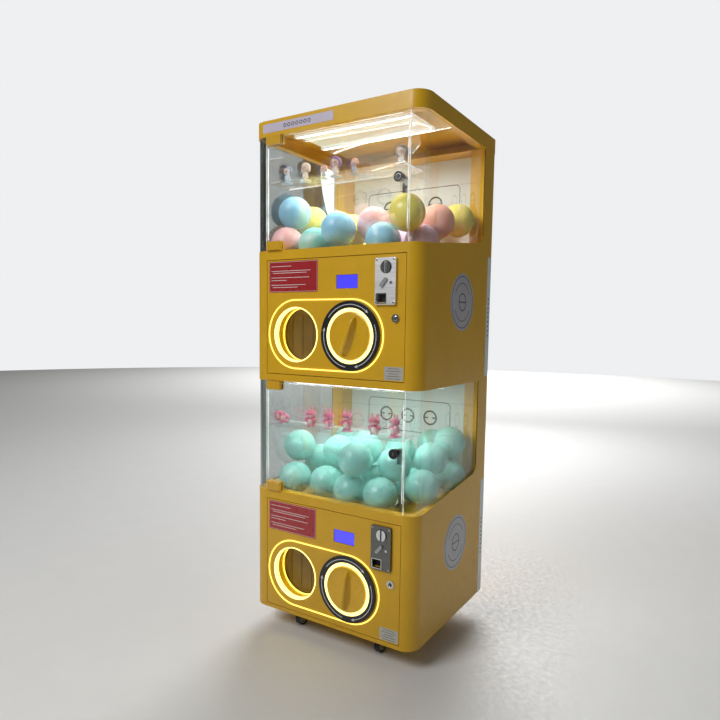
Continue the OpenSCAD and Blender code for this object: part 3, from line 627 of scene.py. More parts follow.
def screw(shape, centre, radius, facing=-1, axis="y", steps=16):
    """Pan head standing on a face, its cross recess a dark cross of painted shade on the head; facing is
    the way out along axis.
    """
    rise = facing * radius * 0.45
    profile = [(radius * 0.02, rise), (radius * 0.45, rise), (radius * 0.85, rise * 0.75), (radius, 0.0)]
    shape.lathe(profile, centre, axis, steps)
    keep = shape.finish
    # the cross takes the next finish, the painted shade of its recess
    shape.finish = keep + 1
    for turned in (False, True):
        half = (radius * 0.5, radius * 0.11)
        u, v = half if turned else half[::-1]
        outline = [(-u, -v), (u, -v), (u, v), (-u, v)]
        points = [[Vector(centre) + on_plane(axis, a, b, w) for a, b in outline]
                  for w in (rise * 0.9, rise * 1.04)]
        shape.skin(points)
    shape.finish = keep


# ---------- operators ----------

class StageOperator(bpy.types.Operator):
    """Floor, soft light and camera."""

    bl_idname = "capsule_cabinet.stage"
    bl_label = "Studio"

    def execute(self, context):
        look = context.scene.cabinet_studio
        self.camera(context, look)
        self.floor(context)
        self.lights(context, look)
        context.scene.view_settings.view_transform = "Standard"
        return {"FINISHED"}

    def camera(self, context, look):
        a, e, r = (math.radians(x) for x in (look.heading, look.pitch, look.roll))
        back = Vector((math.sin(a) * math.cos(e), -math.cos(a) * math.cos(e), math.sin(e)))
        right = Vector((math.cos(a), math.sin(a), 0))
        up = back.cross(right)
        across = math.cos(r) * right + math.sin(r) * up
        over = math.cos(r) * up - math.sin(r) * right
        data = bpy.data.cameras.new("camera")
        data.lens = look.lens
        data.sensor_width = 36
        data.shift_x, data.shift_y = look.shift
        data.clip_end = 100
        camera = bpy.data.objects.new("camera", data)
        turn = Matrix((across, over, back)).transposed().to_4x4()
        camera.matrix_world = Matrix.Translation(Vector(look.place)) @ turn
        context.scene.collection.objects.link(camera)
        context.scene.camera = camera

    def floor(self, context):
        shape = Shape()
        shape.lathe([(0.001, 0), (2, 0), (12, 0)], (0, 0, 0), "z", 96)
        bmesh.ops.recalc_face_normals(shape.mesh, faces=shape.mesh.faces)
        data = bpy.data.meshes.new("floor")
        shape.mesh.to_mesh(data)
        shape.mesh.free()
        floor = bpy.data.objects.new("floor", data)
        recipe = mottled("pale_floor", (0.78, 0.78, 0.77), 0.55, 60.0, 0.05 * MM, 0.01)
        data.materials.append(recipe.material)
        context.scene.collection.objects.link(floor)

    def lights(self, context, look):
        middle = (CAD_BOX[0] + CAD_BOX[1]) / 2
        for name, place, size, power in (
                ("key_light", (-0.9, -3.3, 3.5), 2.0, look.key),
                ("fill_light", (3.2, 0.4, 2.2), 2.5, look.fill),
                ("top_light", (0.0, 0.3, 3.6), 2.6, look.fill * 1.6),
                ("back_light", (-1.2, 3.4, 2.3), 2.6, look.key * 0.8),
                ("floor_wash", (-3.5, 9.0, 5.0), 7.0, look.key * 9)):
            data = bpy.data.lights.new(name, "AREA")
            data.shape = "DISK"
            data.size = size
            data.energy = power
            lamp = bpy.data.objects.new(name, data)
            lamp.location = place
            if name != "floor_wash":
                lamp.rotation_euler = (Vector(place) - middle).to_track_quat("Z", "Y").to_euler()
            context.scene.collection.objects.link(lamp)
        self.tank_lights(context, look)
        world = bpy.data.worlds.new("room")
        context.scene.world = world
        world.use_nodes = True
        tree = world.node_tree
        soft = tree.nodes["Background"]
        soft.inputs["Color"].default_value = (1, 0.99, 0.97, 1)
        soft.inputs["Strength"].default_value = look.air
        pale = tree.nodes.new("ShaderNodeBackground")
        pale.inputs["Color"].default_value = (0.86, 0.87, 0.88, 1)
        seen = tree.nodes.new("ShaderNodeLightPath").outputs["Is Camera Ray"]
        mix = tree.nodes.new("ShaderNodeMixShader")
        tree.links.new(seen, mix.inputs[0])
        tree.links.new(soft.outputs[0], mix.inputs[1])
        tree.links.new(pale.outputs[0], mix.inputs[2])
        tree.links.new(mix.outputs[0], tree.nodes["World Output"].inputs[0])

    def tank_lights(self, context, look):
        """Soft light under each ceiling, in step with its light bars."""
        low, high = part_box("ceiling_lights")
        for name, power in zip(("lower", "upper"), look.tank):
            data = bpy.data.lights.new(f"{name}_tank_light", "AREA")
            data.shape = "RECTANGLE"
            data.size, data.size_y = high.x - low.x, high.y - low.y
            data.energy = power
            data.color = tuple(context.scene.cabinet_lights.lamp)
            lamp = bpy.data.objects.new(data.name, data)
            lamp.location = (0, (low.y + high.y) / 2, PLACES[name].ceiling - 18 * MM)
            lamp.visible_camera = False
            lamp.visible_glossy = False
            lamp.visible_transmission = False
            context.scene.collection.objects.link(lamp)


class CabinetOperator(bpy.types.Operator):
    """Sheet-metal housings, columns, header and doors, with their screws."""

    bl_idname = "capsule_cabinet.cabinet"
    bl_label = "Cabinet"

    def execute(self, context):
        paint = paints(context)
        fold = context.scene.cabinet_paint.fold
        for node in ("lower_housing", "upper_housing", "left_column", "right_column", "top_cap",
                     "lower_service_door", "upper_service_door", "base_plate", "tank_floors", "chutes"):
            dress(node, paint["yellow"], fold)
        dress("back_panel", paint["yellow"], 0.4 * MM)
        self.back_screws(paint)
        self.seams(paint)
        return {"FINISHED"}

    def back_screws(self, paint):
        low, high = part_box("back_panel")
        shape = Shape()
        rows = 9
        for side in SIDES:
            for k in range(rows):
                x = side * (high.x - 12 * MM)
                z = low.z + 40 * MM + k * (high.z - low.z - 80 * MM) / (rows - 1)
                screw(shape, (x, high.y - 0.2 * MM, z), 4 * MM, 0.01)
        shape.piece("back_screws", CABINET, "zinc_steel", [paint["zinc"], paint["dark"]])

    def seams(self, paint):
        """Dark sealing strip where each side skin meets its column."""
        shape = Shape()
        housing_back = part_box("lower_housing")[1].y
        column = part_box("right_column")
        for side in SIDES:
            x = side * (column[1].x - 0.9 * MM)
            shape.block((min(x, x - side * 1.5 * MM), housing_back - 0.2 * MM, column[0].z + 1 * MM),
                        (max(x, x - side * 1.5 * MM), housing_back + 0.7 * MM, column[1].z - 1 * MM))
        shape.piece("column_seals", CABINET, "black_plastic", paint["black"])


class EmblemOperator(bpy.types.Operator):
    """Round emblems, white column strips and the strip on the header."""

    bl_idname = "capsule_cabinet.emblems"
    bl_label = "Emblems and strips"

    def execute(self, context):
        paint = paints(context)
        look = context.scene.cabinet_plates
        side_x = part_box("upper_housing")[1].x
        middle_y = 35 * MM
        for name in DECKS:
            deck = PLACES[name]
            for side in SIDES:
                self.emblem(deck, side, side_x, middle_y, look, paint)
        self.column_strips(paint)
        self.header_strip(paint)
        return {"FINISHED"}

    def emblem(self, deck, side, side_x, y, look, paint):
        z = deck.floor - 149 * MM
        shape = Shape()
        face = side * side_x
        film = side * (side_x + FILM)
        ink = side * (side_x + INK)
        shape.prism(disc(look.emblem, (y, z), 72), face, film, "x")
        shape.finish = 1
        shape.ribbon(disc(look.emblem * 0.9, (y, z), 72), look.line, film, ink, "x", closed=True)
        for start in (25, 205):
            shape.ribbon(arc(look.emblem * 0.66, start, start + 130, 40, (y, z)), look.line, film, ink, "x")
        ball = look.emblem * 0.3
        shape.ribbon(disc(ball, (y, z), 40), look.line * 1.6, film, ink, "x", closed=True)
        shape.ribbon([(y - ball, z), (y + ball, z)], look.line * 1.6, film, ink, "x")
        where = "right" if side > 0 else "left"
        shape.piece(f"{deck.name}_{where}_emblem", CABINET, "white_panel", [paint["emblem"], paint["ink"]])

    def column_strips(self, paint):
        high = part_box("right_column")[1]
        width = 30 * MM
        for name in DECKS:
            deck = PLACES[name]
            for side in SIDES:
                shape = Shape()
                face = side * high.x
                film = side * (high.x + FILM)
                ink = side * (high.x + INK)
                y = high.y - width / 2 - 1 * MM
                bottom, top = deck.floor - 386 * MM, deck.floor + 6 * MM
                shape.prism(rounded(width, top - bottom, 3 * MM, (y, (top + bottom) / 2)), face, film, "x")
                shape.finish = 1
                for k in range(9):
                    z = (top + bottom) / 2 + (k - 4) * 15 * MM
                    shape.prism(disc(3.6 * MM, (y, z), 24), film, ink, "x")
                where = "right" if side > 0 else "left"
                shape.piece(f"{name}_{where}_column_strip", CABINET, "white_panel",
                            [paint["white"], paint["ink"]])

    def header_strip(self, paint):
        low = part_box("top_cap")[0]
        shape = Shape()
        left, right = -253 * MM, 8 * MM
        middle = ((left + right) / 2, low.z + 23.5 * MM)
        shape.prism(rounded(right - left, 26 * MM, 1.5 * MM, middle), low.y, low.y - 0.4 * MM)
        shape.finish = 1
        for k in range(7):
            centre = (middle[0] - 0.045 + k * 15 * MM, middle[1])
            shape.ribbon(disc(4.5 * MM, centre, 24), 2.2 * MM, low.y - 0.4 * MM, low.y - 0.6 * MM,
                         closed=True)
        shape.piece("header_strip", CABINET, "white_panel", [paint["lilac"], paint["ink"]])


class CasterOperator(bpy.types.Operator):
    """Swivel casters with hub caps, axle nuts and plate bolts."""

    bl_idname = "capsule_cabinet.casters"
    bl_label = "Casters"

    def execute(self, context):
        paint = paints(context)
        dress("caster_plates", paint["gilt"], 0.3 * MM)
        for corner in ("fl", "fr", "rl", "rr"):
            dress(f"caster_fork_{corner}", paint["gilt"], 0.3 * MM)
            dress(f"caster_wheel_{corner}", paint["rubber"], 0.3 * MM)
            self.caps(corner, paint)
        self.bolts(paint)
        return {"FINISHED"}

    def caps(self, corner, paint):
        low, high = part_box(f"caster_wheel_{corner}")
        centre = (low + high) / 2
        half = (high.x - low.x) / 2
        wheel = Shape()
        for side in SIDES:
            profile = [(9 * MM, half - 2.2 * MM), (10 * MM, half - 1.2 * MM), (17 * MM, half - 1.2 * MM),
                       (19.5 * MM, half - 1.9 * MM)]
            wheel.lathe([(r, side * h) for r, h in profile], centre, "x", 32)
        wheel.piece(f"caster_rim_{corner}", f"caster_wheel_{corner}", "zinc_steel", paint["cast"])
        nuts = Shape()
        fork_low, fork_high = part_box(f"caster_fork_{corner}")
        for side, x in ((-1, fork_low.x), (1, fork_high.x)):
            outline = [(centre.y + u, centre.z + v) for u, v in disc(5.5 * MM, steps=6)]
            nuts.prism(outline, x - side * 2.8 * MM, x - side * 0.6 * MM, "x")
        nuts.piece(f"caster_nuts_{corner}", f"caster_fork_{corner}", "zinc_steel", paint["zinc"], 0.3 * MM)

    def bolts(self, paint):
        low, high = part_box("caster_plates")
        shape = Shape()
        half = 30 * MM
        for x in (low.x + half, high.x - half):
            for y in (low.y + half, high.y - half):
                for sx in SIDES:
                    for sy in SIDES:
                        place = (x + sx * 23 * MM, y + sy * 23 * MM)
                        shape.prism(disc(5 * MM, place, 6), high.z - 2.5 * MM, high.z - 5.5 * MM, "z")
        shape.piece("caster_bolts", CABINET, "zinc_steel", paint["zinc"], 0.3 * MM)


class PaneOperator(bpy.types.Operator):
    """Clear doors, windows and shelves, with a painted glow on their sheet edges."""

    bl_idname = "capsule_cabinet.panes"
    bl_label = "Clear sheets"

    def execute(self, context):
        paint = paints(context)
        # the left windows take the darker sheet of painted shade
        dress("left_windows", paint["smoke"], 0.35 * MM).visible_shadow = False
        for node in ("right_windows", "lower_display_door", "upper_display_door",
                     "lower_shelf", "upper_shelf"):
            dress(node, paint["clear"], 0.35 * MM).visible_shadow = False
        for name in DECKS:
            self.edges(PLACES[name], paint)
        return {"FINISHED"}

    def edges(self, deck, paint):
        # door, shelf and window edges take the painted edge glow
        low, high = deck.pane
        door = Shape()
        for x in (low.x, high.x - 0.6 * MM):
            door.block((x, low.y + 0.4 * MM, low.z + 30 * MM),
                       (x + 0.6 * MM, high.y - 0.4 * MM, high.z - 30 * MM))
        shelf_low, shelf_high = deck.shelf
        door.block((shelf_low.x, shelf_high.y - 0.6 * MM, shelf_low.z + 0.4 * MM),
                   (shelf_high.x, shelf_high.y, shelf_high.z - 0.4 * MM))
        door.block((shelf_high.x - 0.6 * MM, shelf_low.y, shelf_low.z + 0.4 * MM),
                   (shelf_high.x, shelf_high.y - 0.6 * MM, shelf_high.z - 0.4 * MM))
        door.piece(deck.piece("sheet_edges"), deck.body("display_door"), "clear_acrylic", paint["edge"])
        window = Shape()
        for node, inner in (("left_windows", 1), ("right_windows", -1)):
            side_low, side_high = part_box(node)
            x = side_high.x if inner > 0 else side_low.x
            window.block((min(x, x - inner * 0.6 * MM), side_low.y + 0.4 * MM, deck.floor + 0.6 * MM),
                         (max(x, x - inner * 0.6 * MM), side_low.y + 4.6 * MM, deck.ceiling - 0.6 * MM))
        window.piece(deck.piece("window_edges"), CABINET, "clear_acrylic", paint["edge"])


class DisplayPanelOperator(bpy.types.Operator):
    """White panel behind each tank, with a printed card outline and plain capsule signs."""

    bl_idname = "capsule_cabinet.display_panels"
    bl_label = "Display panels"

    def execute(self, context):
        paint = paints(context)
        dress("display_backs", paint["white"], 0.3 * MM)
        for name, half in (("lower", 167 * MM), ("upper", 181 * MM)):
            self.card(PLACES[name], half, paint)
        return {"FINISHED"}

    def card(self, deck, half, paint):
        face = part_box("display_backs")[0].y
        top, height = deck.floor + 255 * MM, 115 * MM
        middle = (0, top - height / 2)
        shape = Shape()
        shape.ribbon(rounded(2 * half, height, 16 * MM, middle), 2.4 * MM, face - 0.4 * MM, face,
                     closed=True)
        for k in (-1, 0, 1):
            centre = (k * 90 * MM, middle[1])
            shape.ribbon(disc(24 * MM, centre, 48), 6 * MM, face - 0.4 * MM, face, closed=True)
            for side in SIDES:
                across = (centre[0] + side * 24 * MM, centre[1])
                shape.ribbon([across, (centre[0] + side * 8 * MM, centre[1])], 5 * MM,
                             face - 0.4 * MM, face)
        shape.piece(deck.piece("panel_card"), CABINET, "white_panel", paint["ink"])


class LightBarOperator(bpy.types.Operator):
    """Light bars with their lamps, and the ribbed reflector between them, which glows with painted light.
    """

    bl_idname = "capsule_cabinet.light_bars"
    bl_label = "Light bars"

    def execute(self, context):
        paint = paints(context)
        look = context.scene.cabinet_lights
        dress("ceiling_lights", paint["bar"], 0.3 * MM)
        low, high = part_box("ceiling_lights")
        depth = 16 * MM
        under = {"lower": low.z, "upper": PLACES["upper"].ceiling + 16 * MM}
        for name in DECKS:
            lamps = Shape()
            for y in (low.y + depth / 2, high.y - depth / 2):
                self.row(lamps, low.x, high.x, y, under[name], look)
            lamps.piece(f"{name}_lamps", CABINET, "white_light", [paint["lamp"], paint["white"]])
            self.ribs(name, low, high, depth, under[name] + 11 * MM, paint)
        return {"FINISHED"}

    def row(self, shape, left, right, y, z, look):
        count = int((right - left - 12 * MM) / look.lamp_pitch)
        start = (left + right - (count - 1) * look.lamp_pitch) / 2
        for k in range(count):
            x = start + k * look.lamp_pitch
            dome = [(look.lamp_radius * math.cos(a), -look.lamp_radius * 0.7 * math.sin(a))
                    for a in (0, math.radians(30), math.radians(60), math.radians(85))]
            shape.lathe(dome, (x, y, z), "z", 12)

    def ribs(self, name, low, high, depth, roof, paint):
        shape = Shape()
        pitch = 10 * MM
        count = int((high.x - low.x) / pitch)
        front, back = low.y + depth + 2 * MM, high.y - depth - 2 * MM
        shape.block((low.x, front, roof - 1.2 * MM), (high.x, back, roof - 0.2 * MM))
        for k in range(count):
            x = low.x + (k + 0.5) * pitch
            section = [(x - 3 * MM, roof - 1.2 * MM), (x - 1.6 * MM, roof - 4 * MM),
                       (x + 1.6 * MM, roof - 4 * MM), (x + 3 * MM, roof - 1.2 * MM)]
            shape.prism(section, front, back)
        # the ribs glow with painted light
        shape.piece(f"{name}_reflector", CABINET, "white_light", paint["reflector"])


class CapsuleOperator(bpy.types.Operator):
    """Capsules in two halves with a lip, in the places of the CAD heap."""

    bl_idname = "capsule_cabinet.capsules"
    bl_label = "Capsules"

    UPPER_COLOURS = (
        "lemon pink sky lemon mint mint pink lemon lemon sky salmon "
        "pink pink salmon lilac sky salmon lemon lilac salmon lemon").split()

    def execute(self, context):
        look = context.scene.cabinet_capsules
        balls = self.heap()
        groups = {}
        upper = 0
        for centre, radius in balls:
            if centre.z < PLACES["lower"].ceiling:
                groups.setdefault(("lower", "mint"), []).append((centre, radius))
            else:
                colour = self.UPPER_COLOURS[upper % len(self.UPPER_COLOURS)]
                groups.setdefault(("upper", colour), []).append((centre, radius))
                upper += 1
        first = True
        for (name, colour), members in groups.items():
            shape = Shape()
            for k, (centre, radius) in enumerate(members):
                self.capsule(shape, centre, radius, look.seam, 37 * k + 20)
            shape.piece(f"{name}_{colour}_capsules", CABINET, "capsule_plastic",
                        capsule_plastic(f"{colour}_capsule", tuple(getattr(look, colour))),
                        angle=30, replaces=("capsules",) if first else ())
            first = False
        return {"FINISHED"}

    def heap(self):
        """Centre and radius of each ball of the CAD node, lower deck first, each deck from left to right.
        """
        mesh = bmesh.new()
        mesh.from_mesh(NODES["capsules"].data)
        bmesh.ops.remove_doubles(mesh, verts=mesh.verts, dist=0.01 * MM)
        left = set(mesh.verts)
        found = []
        while left:
            todo = [left.pop()]
            low = Vector(todo[0].co)
            high = Vector(todo[0].co)
            while todo:
                vert = todo.pop()
                low = Vector(map(min, low, vert.co))
                high = Vector(map(max, high, vert.co))
                for edge in vert.link_edges:
                    other = edge.other_vert(vert)
                    if other in left:
                        left.remove(other)
                        todo.append(other)
            found.append(((low + high) / 2, (high.z - low.z) / 2))
        mesh.free()
        widest = max(radius for _, radius in found)
        outer = [(c, r) for c, r in found if r > widest - 0.7 * MM]
        return sorted(outer, key=lambda ball: (ball[0].z > PLACES["lower"].ceiling, round(ball[0].x, 3)))

    def capsule(self, shape, centre, radius, seam, seed):
        """Ball whose upper half laps over the lower one at a small lip, tipped at its own angle."""
        turn = Matrix.Rotation(math.radians(seed % 360), 3, "Z") @ Matrix.Rotation(
            math.radians(20 + seed * 7 % 140), 3, "X")
        inner = radius * 0.986
        profile = []
        steps = 18
        for k in range(steps + 1):
            a = math.radians(-89.9 + 87.9 * k / steps)
            profile.append((inner * math.cos(a), inner * math.sin(a)))
        profile += [(inner, -seam * 0.5), (radius * 0.997, -seam * 0.4), (radius * 0.997, seam * 0.5),
                    (inner * 1.003, seam * 0.7)]
        for k in range(1, steps + 1):
            a = math.radians(3 + 86.9 * k / steps)
            profile.append((radius * 0.993 * math.cos(a), radius * 0.993 * math.sin(a)))
        shape.lathe(profile, centre, "z", 44, turn)


class ShelfToyOperator(bpy.types.Operator):
    """Sample toys on each shelf: plain dolls above, round rabbits below."""

    bl_idname = "capsule_cabinet.shelf_toys"
    bl_label = "Shelf toys"

    def execute(self, context):
        paint = paints(context)
        upper, lower = PLACES["upper"], PLACES["lower"]
        skin = moulded("toy_skin", (0.8, 0.6, 0.5), 0.4)
        hair = {
            "navy": moulded("toy_navy", (0.04, 0.07, 0.18), 0.35),
            "cream": moulded("toy_cream", (0.78, 0.7, 0.56), 0.4),
            "rose": moulded("toy_rose", (0.75, 0.34, 0.3), 0.4),
            "violet": moulded("toy_violet", (0.2, 0.13, 0.42), 0.35),
            "coral": moulded("toy_coral", (0.78, 0.25, 0.16), 0.4),
            "slate": moulded("toy_slate", (0.09, 0.1, 0.13), 0.4),
        }
        dress_colours = [moulded("toy_sky", (0.3, 0.5, 0.66), 0.45),
                         moulded("toy_white", (0.82, 0.82, 0.8), 0.45)]
        row = ((-198, 58, "navy"), (-128, 60, "cream"), (-60, 42, "rose"), (-17, 64, "violet"),
               (49, 48, "coral"), (203, 66, "slate"))
        for k, (x, tall, colour) in enumerate(row):
            place = Vector((x * MM, upper.front + 48 * MM, upper.shelf[1].z))
            self.doll(f"upper_toy_{k + 1}", place, tall * MM, [hair[colour], skin, dress_colours[k % 2],
                                                              paint["black"]], upper)
        pink = moulded("toy_pink", (0.72, 0.16, 0.3), 0.3, 0.5)
        pale = moulded("toy_blush", (0.85, 0.6, 0.56), 0.35, 0.4)
        spots = (-168, -97, -29, 37, 132, 199)
        for k, x in enumerate(spots):
            place = Vector((x * MM, lower.front + 45 * MM, lower.shelf[1].z))
            self.rabbit(f"lower_toy_{k + 1}", place, [pink, pale, paint["black"]], k, lower)
        return {"FINISHED"}

    def doll(self, name, place, tall, finishes, deck):
        """Small standing doll with a large head and a cap of hair."""
        s = tall / 60
        shape = Shape()

        def ball(x, y, z, *radii):
            shape.ball(place + Vector((x, y, z)) * s, Vector(radii) * s)

        shape.finish = 2
        stand = ((16, 0), (17, 1), (17, 2), (15.5, 3), (0.2, 3.2))
        skirt = ((8.5, 11), (9.5, 13), (5.2, 25), (3.5, 28))
        shape.lathe([(r * s, h * s) for r, h in stand], place, "z", 32)
        shape.lathe([(r * s, h * s) for r, h in skirt], place, "z", 24)
        shape.finish = 1
        for side in SIDES:
            ball(side * 3.6, 0, 8, 2.6, 2.6, 6)
            ball(side * 8.5, -1, 20, 2.1, 2.1, 6)
        ball(0, -1, 39, 13, 11.5, 12)
        shape.finish = 0
        ball(0, 2.2, 42.5, 14.6, 13.2, 12.6)
        for side in SIDES:
            ball(side * 12.5, 1, 35, 4.2, 5, 9)
            ball(side * 3.6, -1.5, 4.4, 3.3, 4.6, 2.4)
        shape.finish = 3
        for side in SIDES:
            ball(side * 4.6, -11.6, 37, 1.5, 1.1, 2.2)
        shape.piece(name, deck.body("display_door"), "capsule_plastic", finishes)

    def rabbit(self, name, place, finishes, pose, deck):
        """Round rabbit: some stand, one lies down, two sit on a disc."""
        lying = pose == 0
        seated = pose in (3, 5)
        turn = Matrix.Rotation(math.radians((-12, 10, -18, 4, 22, -30)[pose]), 3, "Z")
        if lying:
            turn = Matrix.Rotation(math.radians(-78), 3, "Y")
        lift = Vector((0, 0, 15.5 * MM)) if lying else Vector((0, 0, 0))
        shift = Vector((-20 * MM, 0, 0)) if lying else Vector((0, 0, 0))
        shape = Shape()

        def ball(x, y, z, *radii):
            shape.ball(place + lift + shift + turn @ (Vector((x, y, z)) * MM), Vector(radii) * MM, turn)

        if seated:
            shape.lathe([(r * MM, h * MM) for r, h in ((17, 0), (18, 1), (18, 3), (16, 4), (0.2, 4.1))],
                        place, "z", 32)
        shape.finish = 0
        base = 4 if seated else 0
        ball(0, 0, base + 17, 14.5, 12.5, 15)
        ball(0, -1, base + 40, 16.5, 14.5, 13)
        for side in SIDES:
            ball(side * 7.5, -3, base + 4.5, 6.4, 8.4, 4.5)
            ball(side * 15, -5, base + 22, 4.6, 5.4, 8.5)
            ball(side * 8.5, 2, base + 54, 4.4, 3, 8.5)
        ball(0, 12.5, base + 10, 4.5, 4.5, 4.5)
        shape.finish = 1
        ball(0, -6, base + 16, 10, 7.6, 11)
        ball(0, -9.5, base + 36.5, 9, 6.5, 6.2)
        for side in SIDES:
            ball(side * 8.5, 0.4, base + 54, 2.5, 2, 6)
        shape.finish = 2
        for side in SIDES:
            ball(side * 6.2, -13.6, base + 43.5, 1.8, 1.5, 2.4)
        ball(0, -15.8, base + 39.5, 2.3, 1.6, 1.5)
        shape.piece(name, deck.body("display_door"), "capsule_plastic", finishes)


class HardwareOperator(bpy.types.Operator):
    """Hinge blocks and cam locks."""

    bl_idname = "capsule_cabinet.hardware"
    bl_label = "Hinge blocks and locks"

    LOCKS = {"lower": ("black", "black"), "upper": ("chrome", "steel")}     # body and rim

    def execute(self, context):
        paint = paints(context)
        for name in DECKS:
            deck = PLACES[name]
            dress(deck.piece("hinge_blocks"), paint["amber"], 1.0 * MM)
            lock_finish, rim = (paint[key] for key in self.LOCKS[name])
            dress(deck.piece("display_lock"), lock_finish, 0.5 * MM)
            dress(deck.piece("door_lock"), paint["chrome"], 0.4 * MM)
            self.grub_screws(deck, paint)
            low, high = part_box(deck.piece("display_lock"))
            middle = Vector(((low.x + high.x) / 2, low.y, high.z - 14 * MM))
            self.key_face(deck, "display_lock", middle, 7.5 * MM, rim, paint)
            low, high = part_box(deck.piece("door_lock"))
            middle = Vector(((low.x + high.x) / 2, low.y, high.z - 11.5 * MM))
            self.key_face(deck, "door_lock", middle, 6.5 * MM, paint["chrome"], paint)
        return {"FINISHED"}

    def key_face(self, deck, part, centre, radius, rim, paint):
        """Raised ring with a dark key disc and its slot."""
        shape = Shape()
        shape.lathe([(radius, -0.1 * MM), (radius, -0.9 * MM), (radius - 0.7 * MM, -1.1 * MM),
                     (radius - 1.4 * MM, -0.5 * MM), (radius - 1.4 * MM, -0.1 * MM)], centre, "y", 32)
        shape.finish = 1
        shape.lathe([(0.2 * MM, -0.5 * MM), (radius - 1.5 * MM, -0.5 * MM), (radius - 1.5 * MM, -0.1 * MM)],
                    centre, "y", 32)
        shape.finish = 2
        slot = [(centre.x + u, centre.z + v) for u, v in rounded(1.3 * MM, radius * 0.95, 0.6 * MM)]
        shape.prism(slot, centre.y - 0.5 * MM, centre.y - 0.7 * MM)
        shape.piece(deck.piece(part + "_key_face"), deck.body(part), "chrome",
                    [rim, paint["dark"], paint["cast"]])

    def grub_screws(self, deck, paint):
        """Two screws in the back of each hinge block."""
        low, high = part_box(deck.piece("hinge_blocks"))
        shape = Shape()
        for z in (low.z + 15.5 * MM, high.z - 15.5 * MM):
            for x in (low.x + 26 * MM, low.x + 45 * MM):
                screw(shape, (x, high.y, z), 3 * MM, 0.5)
        shape.piece(deck.piece("hinge_screws"), deck.body("display_door"), "chrome",
                    [paint["chrome"], paint["dark"]])


class PlateOperator(bpy.types.Operator):
    """Red instruction plate and pale label on each service door; their lines stand for print."""

    bl_idname = "capsule_cabinet.plates"
    bl_label = "Plates and labels"

    LINES = ((0, 78, 0), (14, 150, 0), (20, 130, 6), (34, 146, 0), (42, 60, 0), (56, 132, 0), (63, 96, 6))

    def execute(self, context):
        paint = paints(context)
        for name in DECKS:
            self.instructions(PLACES[name], paint)
            self.label(PLACES[name], paint)
        return {"FINISHED"}

    def instructions(self, deck, paint):
        left, right = -229 * MM, -43 * MM
        bottom, top = deck.floor - 127 * MM, deck.floor - 34 * MM
        middle = ((left + right) / 2, (bottom + top) / 2)
        face = deck.front
        shape = Shape()
        shape.prism(rounded(right - left, top - bottom, 5 * MM, middle), face, face - PROUD)
        shape.finish = 1
        ink = (face - PROUD, face - PROUD - 0.15 * MM)
        frame_line = rounded(right - left - 5 * MM, top - bottom - 5 * MM, 3.5 * MM, middle)
        shape.ribbon(frame_line, 0.9 * MM, *ink, closed=True)
        for down, long, inset in self.LINES:
            z = top - (15 + down) * MM
            x = left + (9 + inset) * MM
            shape.ribbon([(x, z), (x + long * MM, z)], 1.7 * MM, *ink)
        shape.piece(deck.piece("instruction_plate"), deck.body("service_door"), "grey_steel",
                    [paint["red"], paint["pale_ink"]])

    def label(self, deck, paint):
        left, right = 187 * MM, 247 * MM
        bottom, top = deck.floor - 372 * MM, deck.floor - 335 * MM
        face = deck.front
        shape = Shape()
        shape.prism(rounded(right - left, top - bottom, 1.5 * MM, ((left + right) / 2, (bottom + top) / 2)),
                    face, face - 0.3 * MM)
        shape.finish = 1
        for k, long in enumerate((36, 48, 30, 44, 40)):
            z = top - (5 + 7 * k) * MM
            middle = (left + right) / 2
            shape.ribbon([(middle - long / 2 * MM, z), (middle + long / 2 * MM, z)], 1.3 * MM,
                         face - 0.3 * MM, face - 0.4 * MM)
        shape.piece(deck.piece("door_label"), deck.body("service_door"), "white_panel",
                    [paint["label"], paint["ink"]])


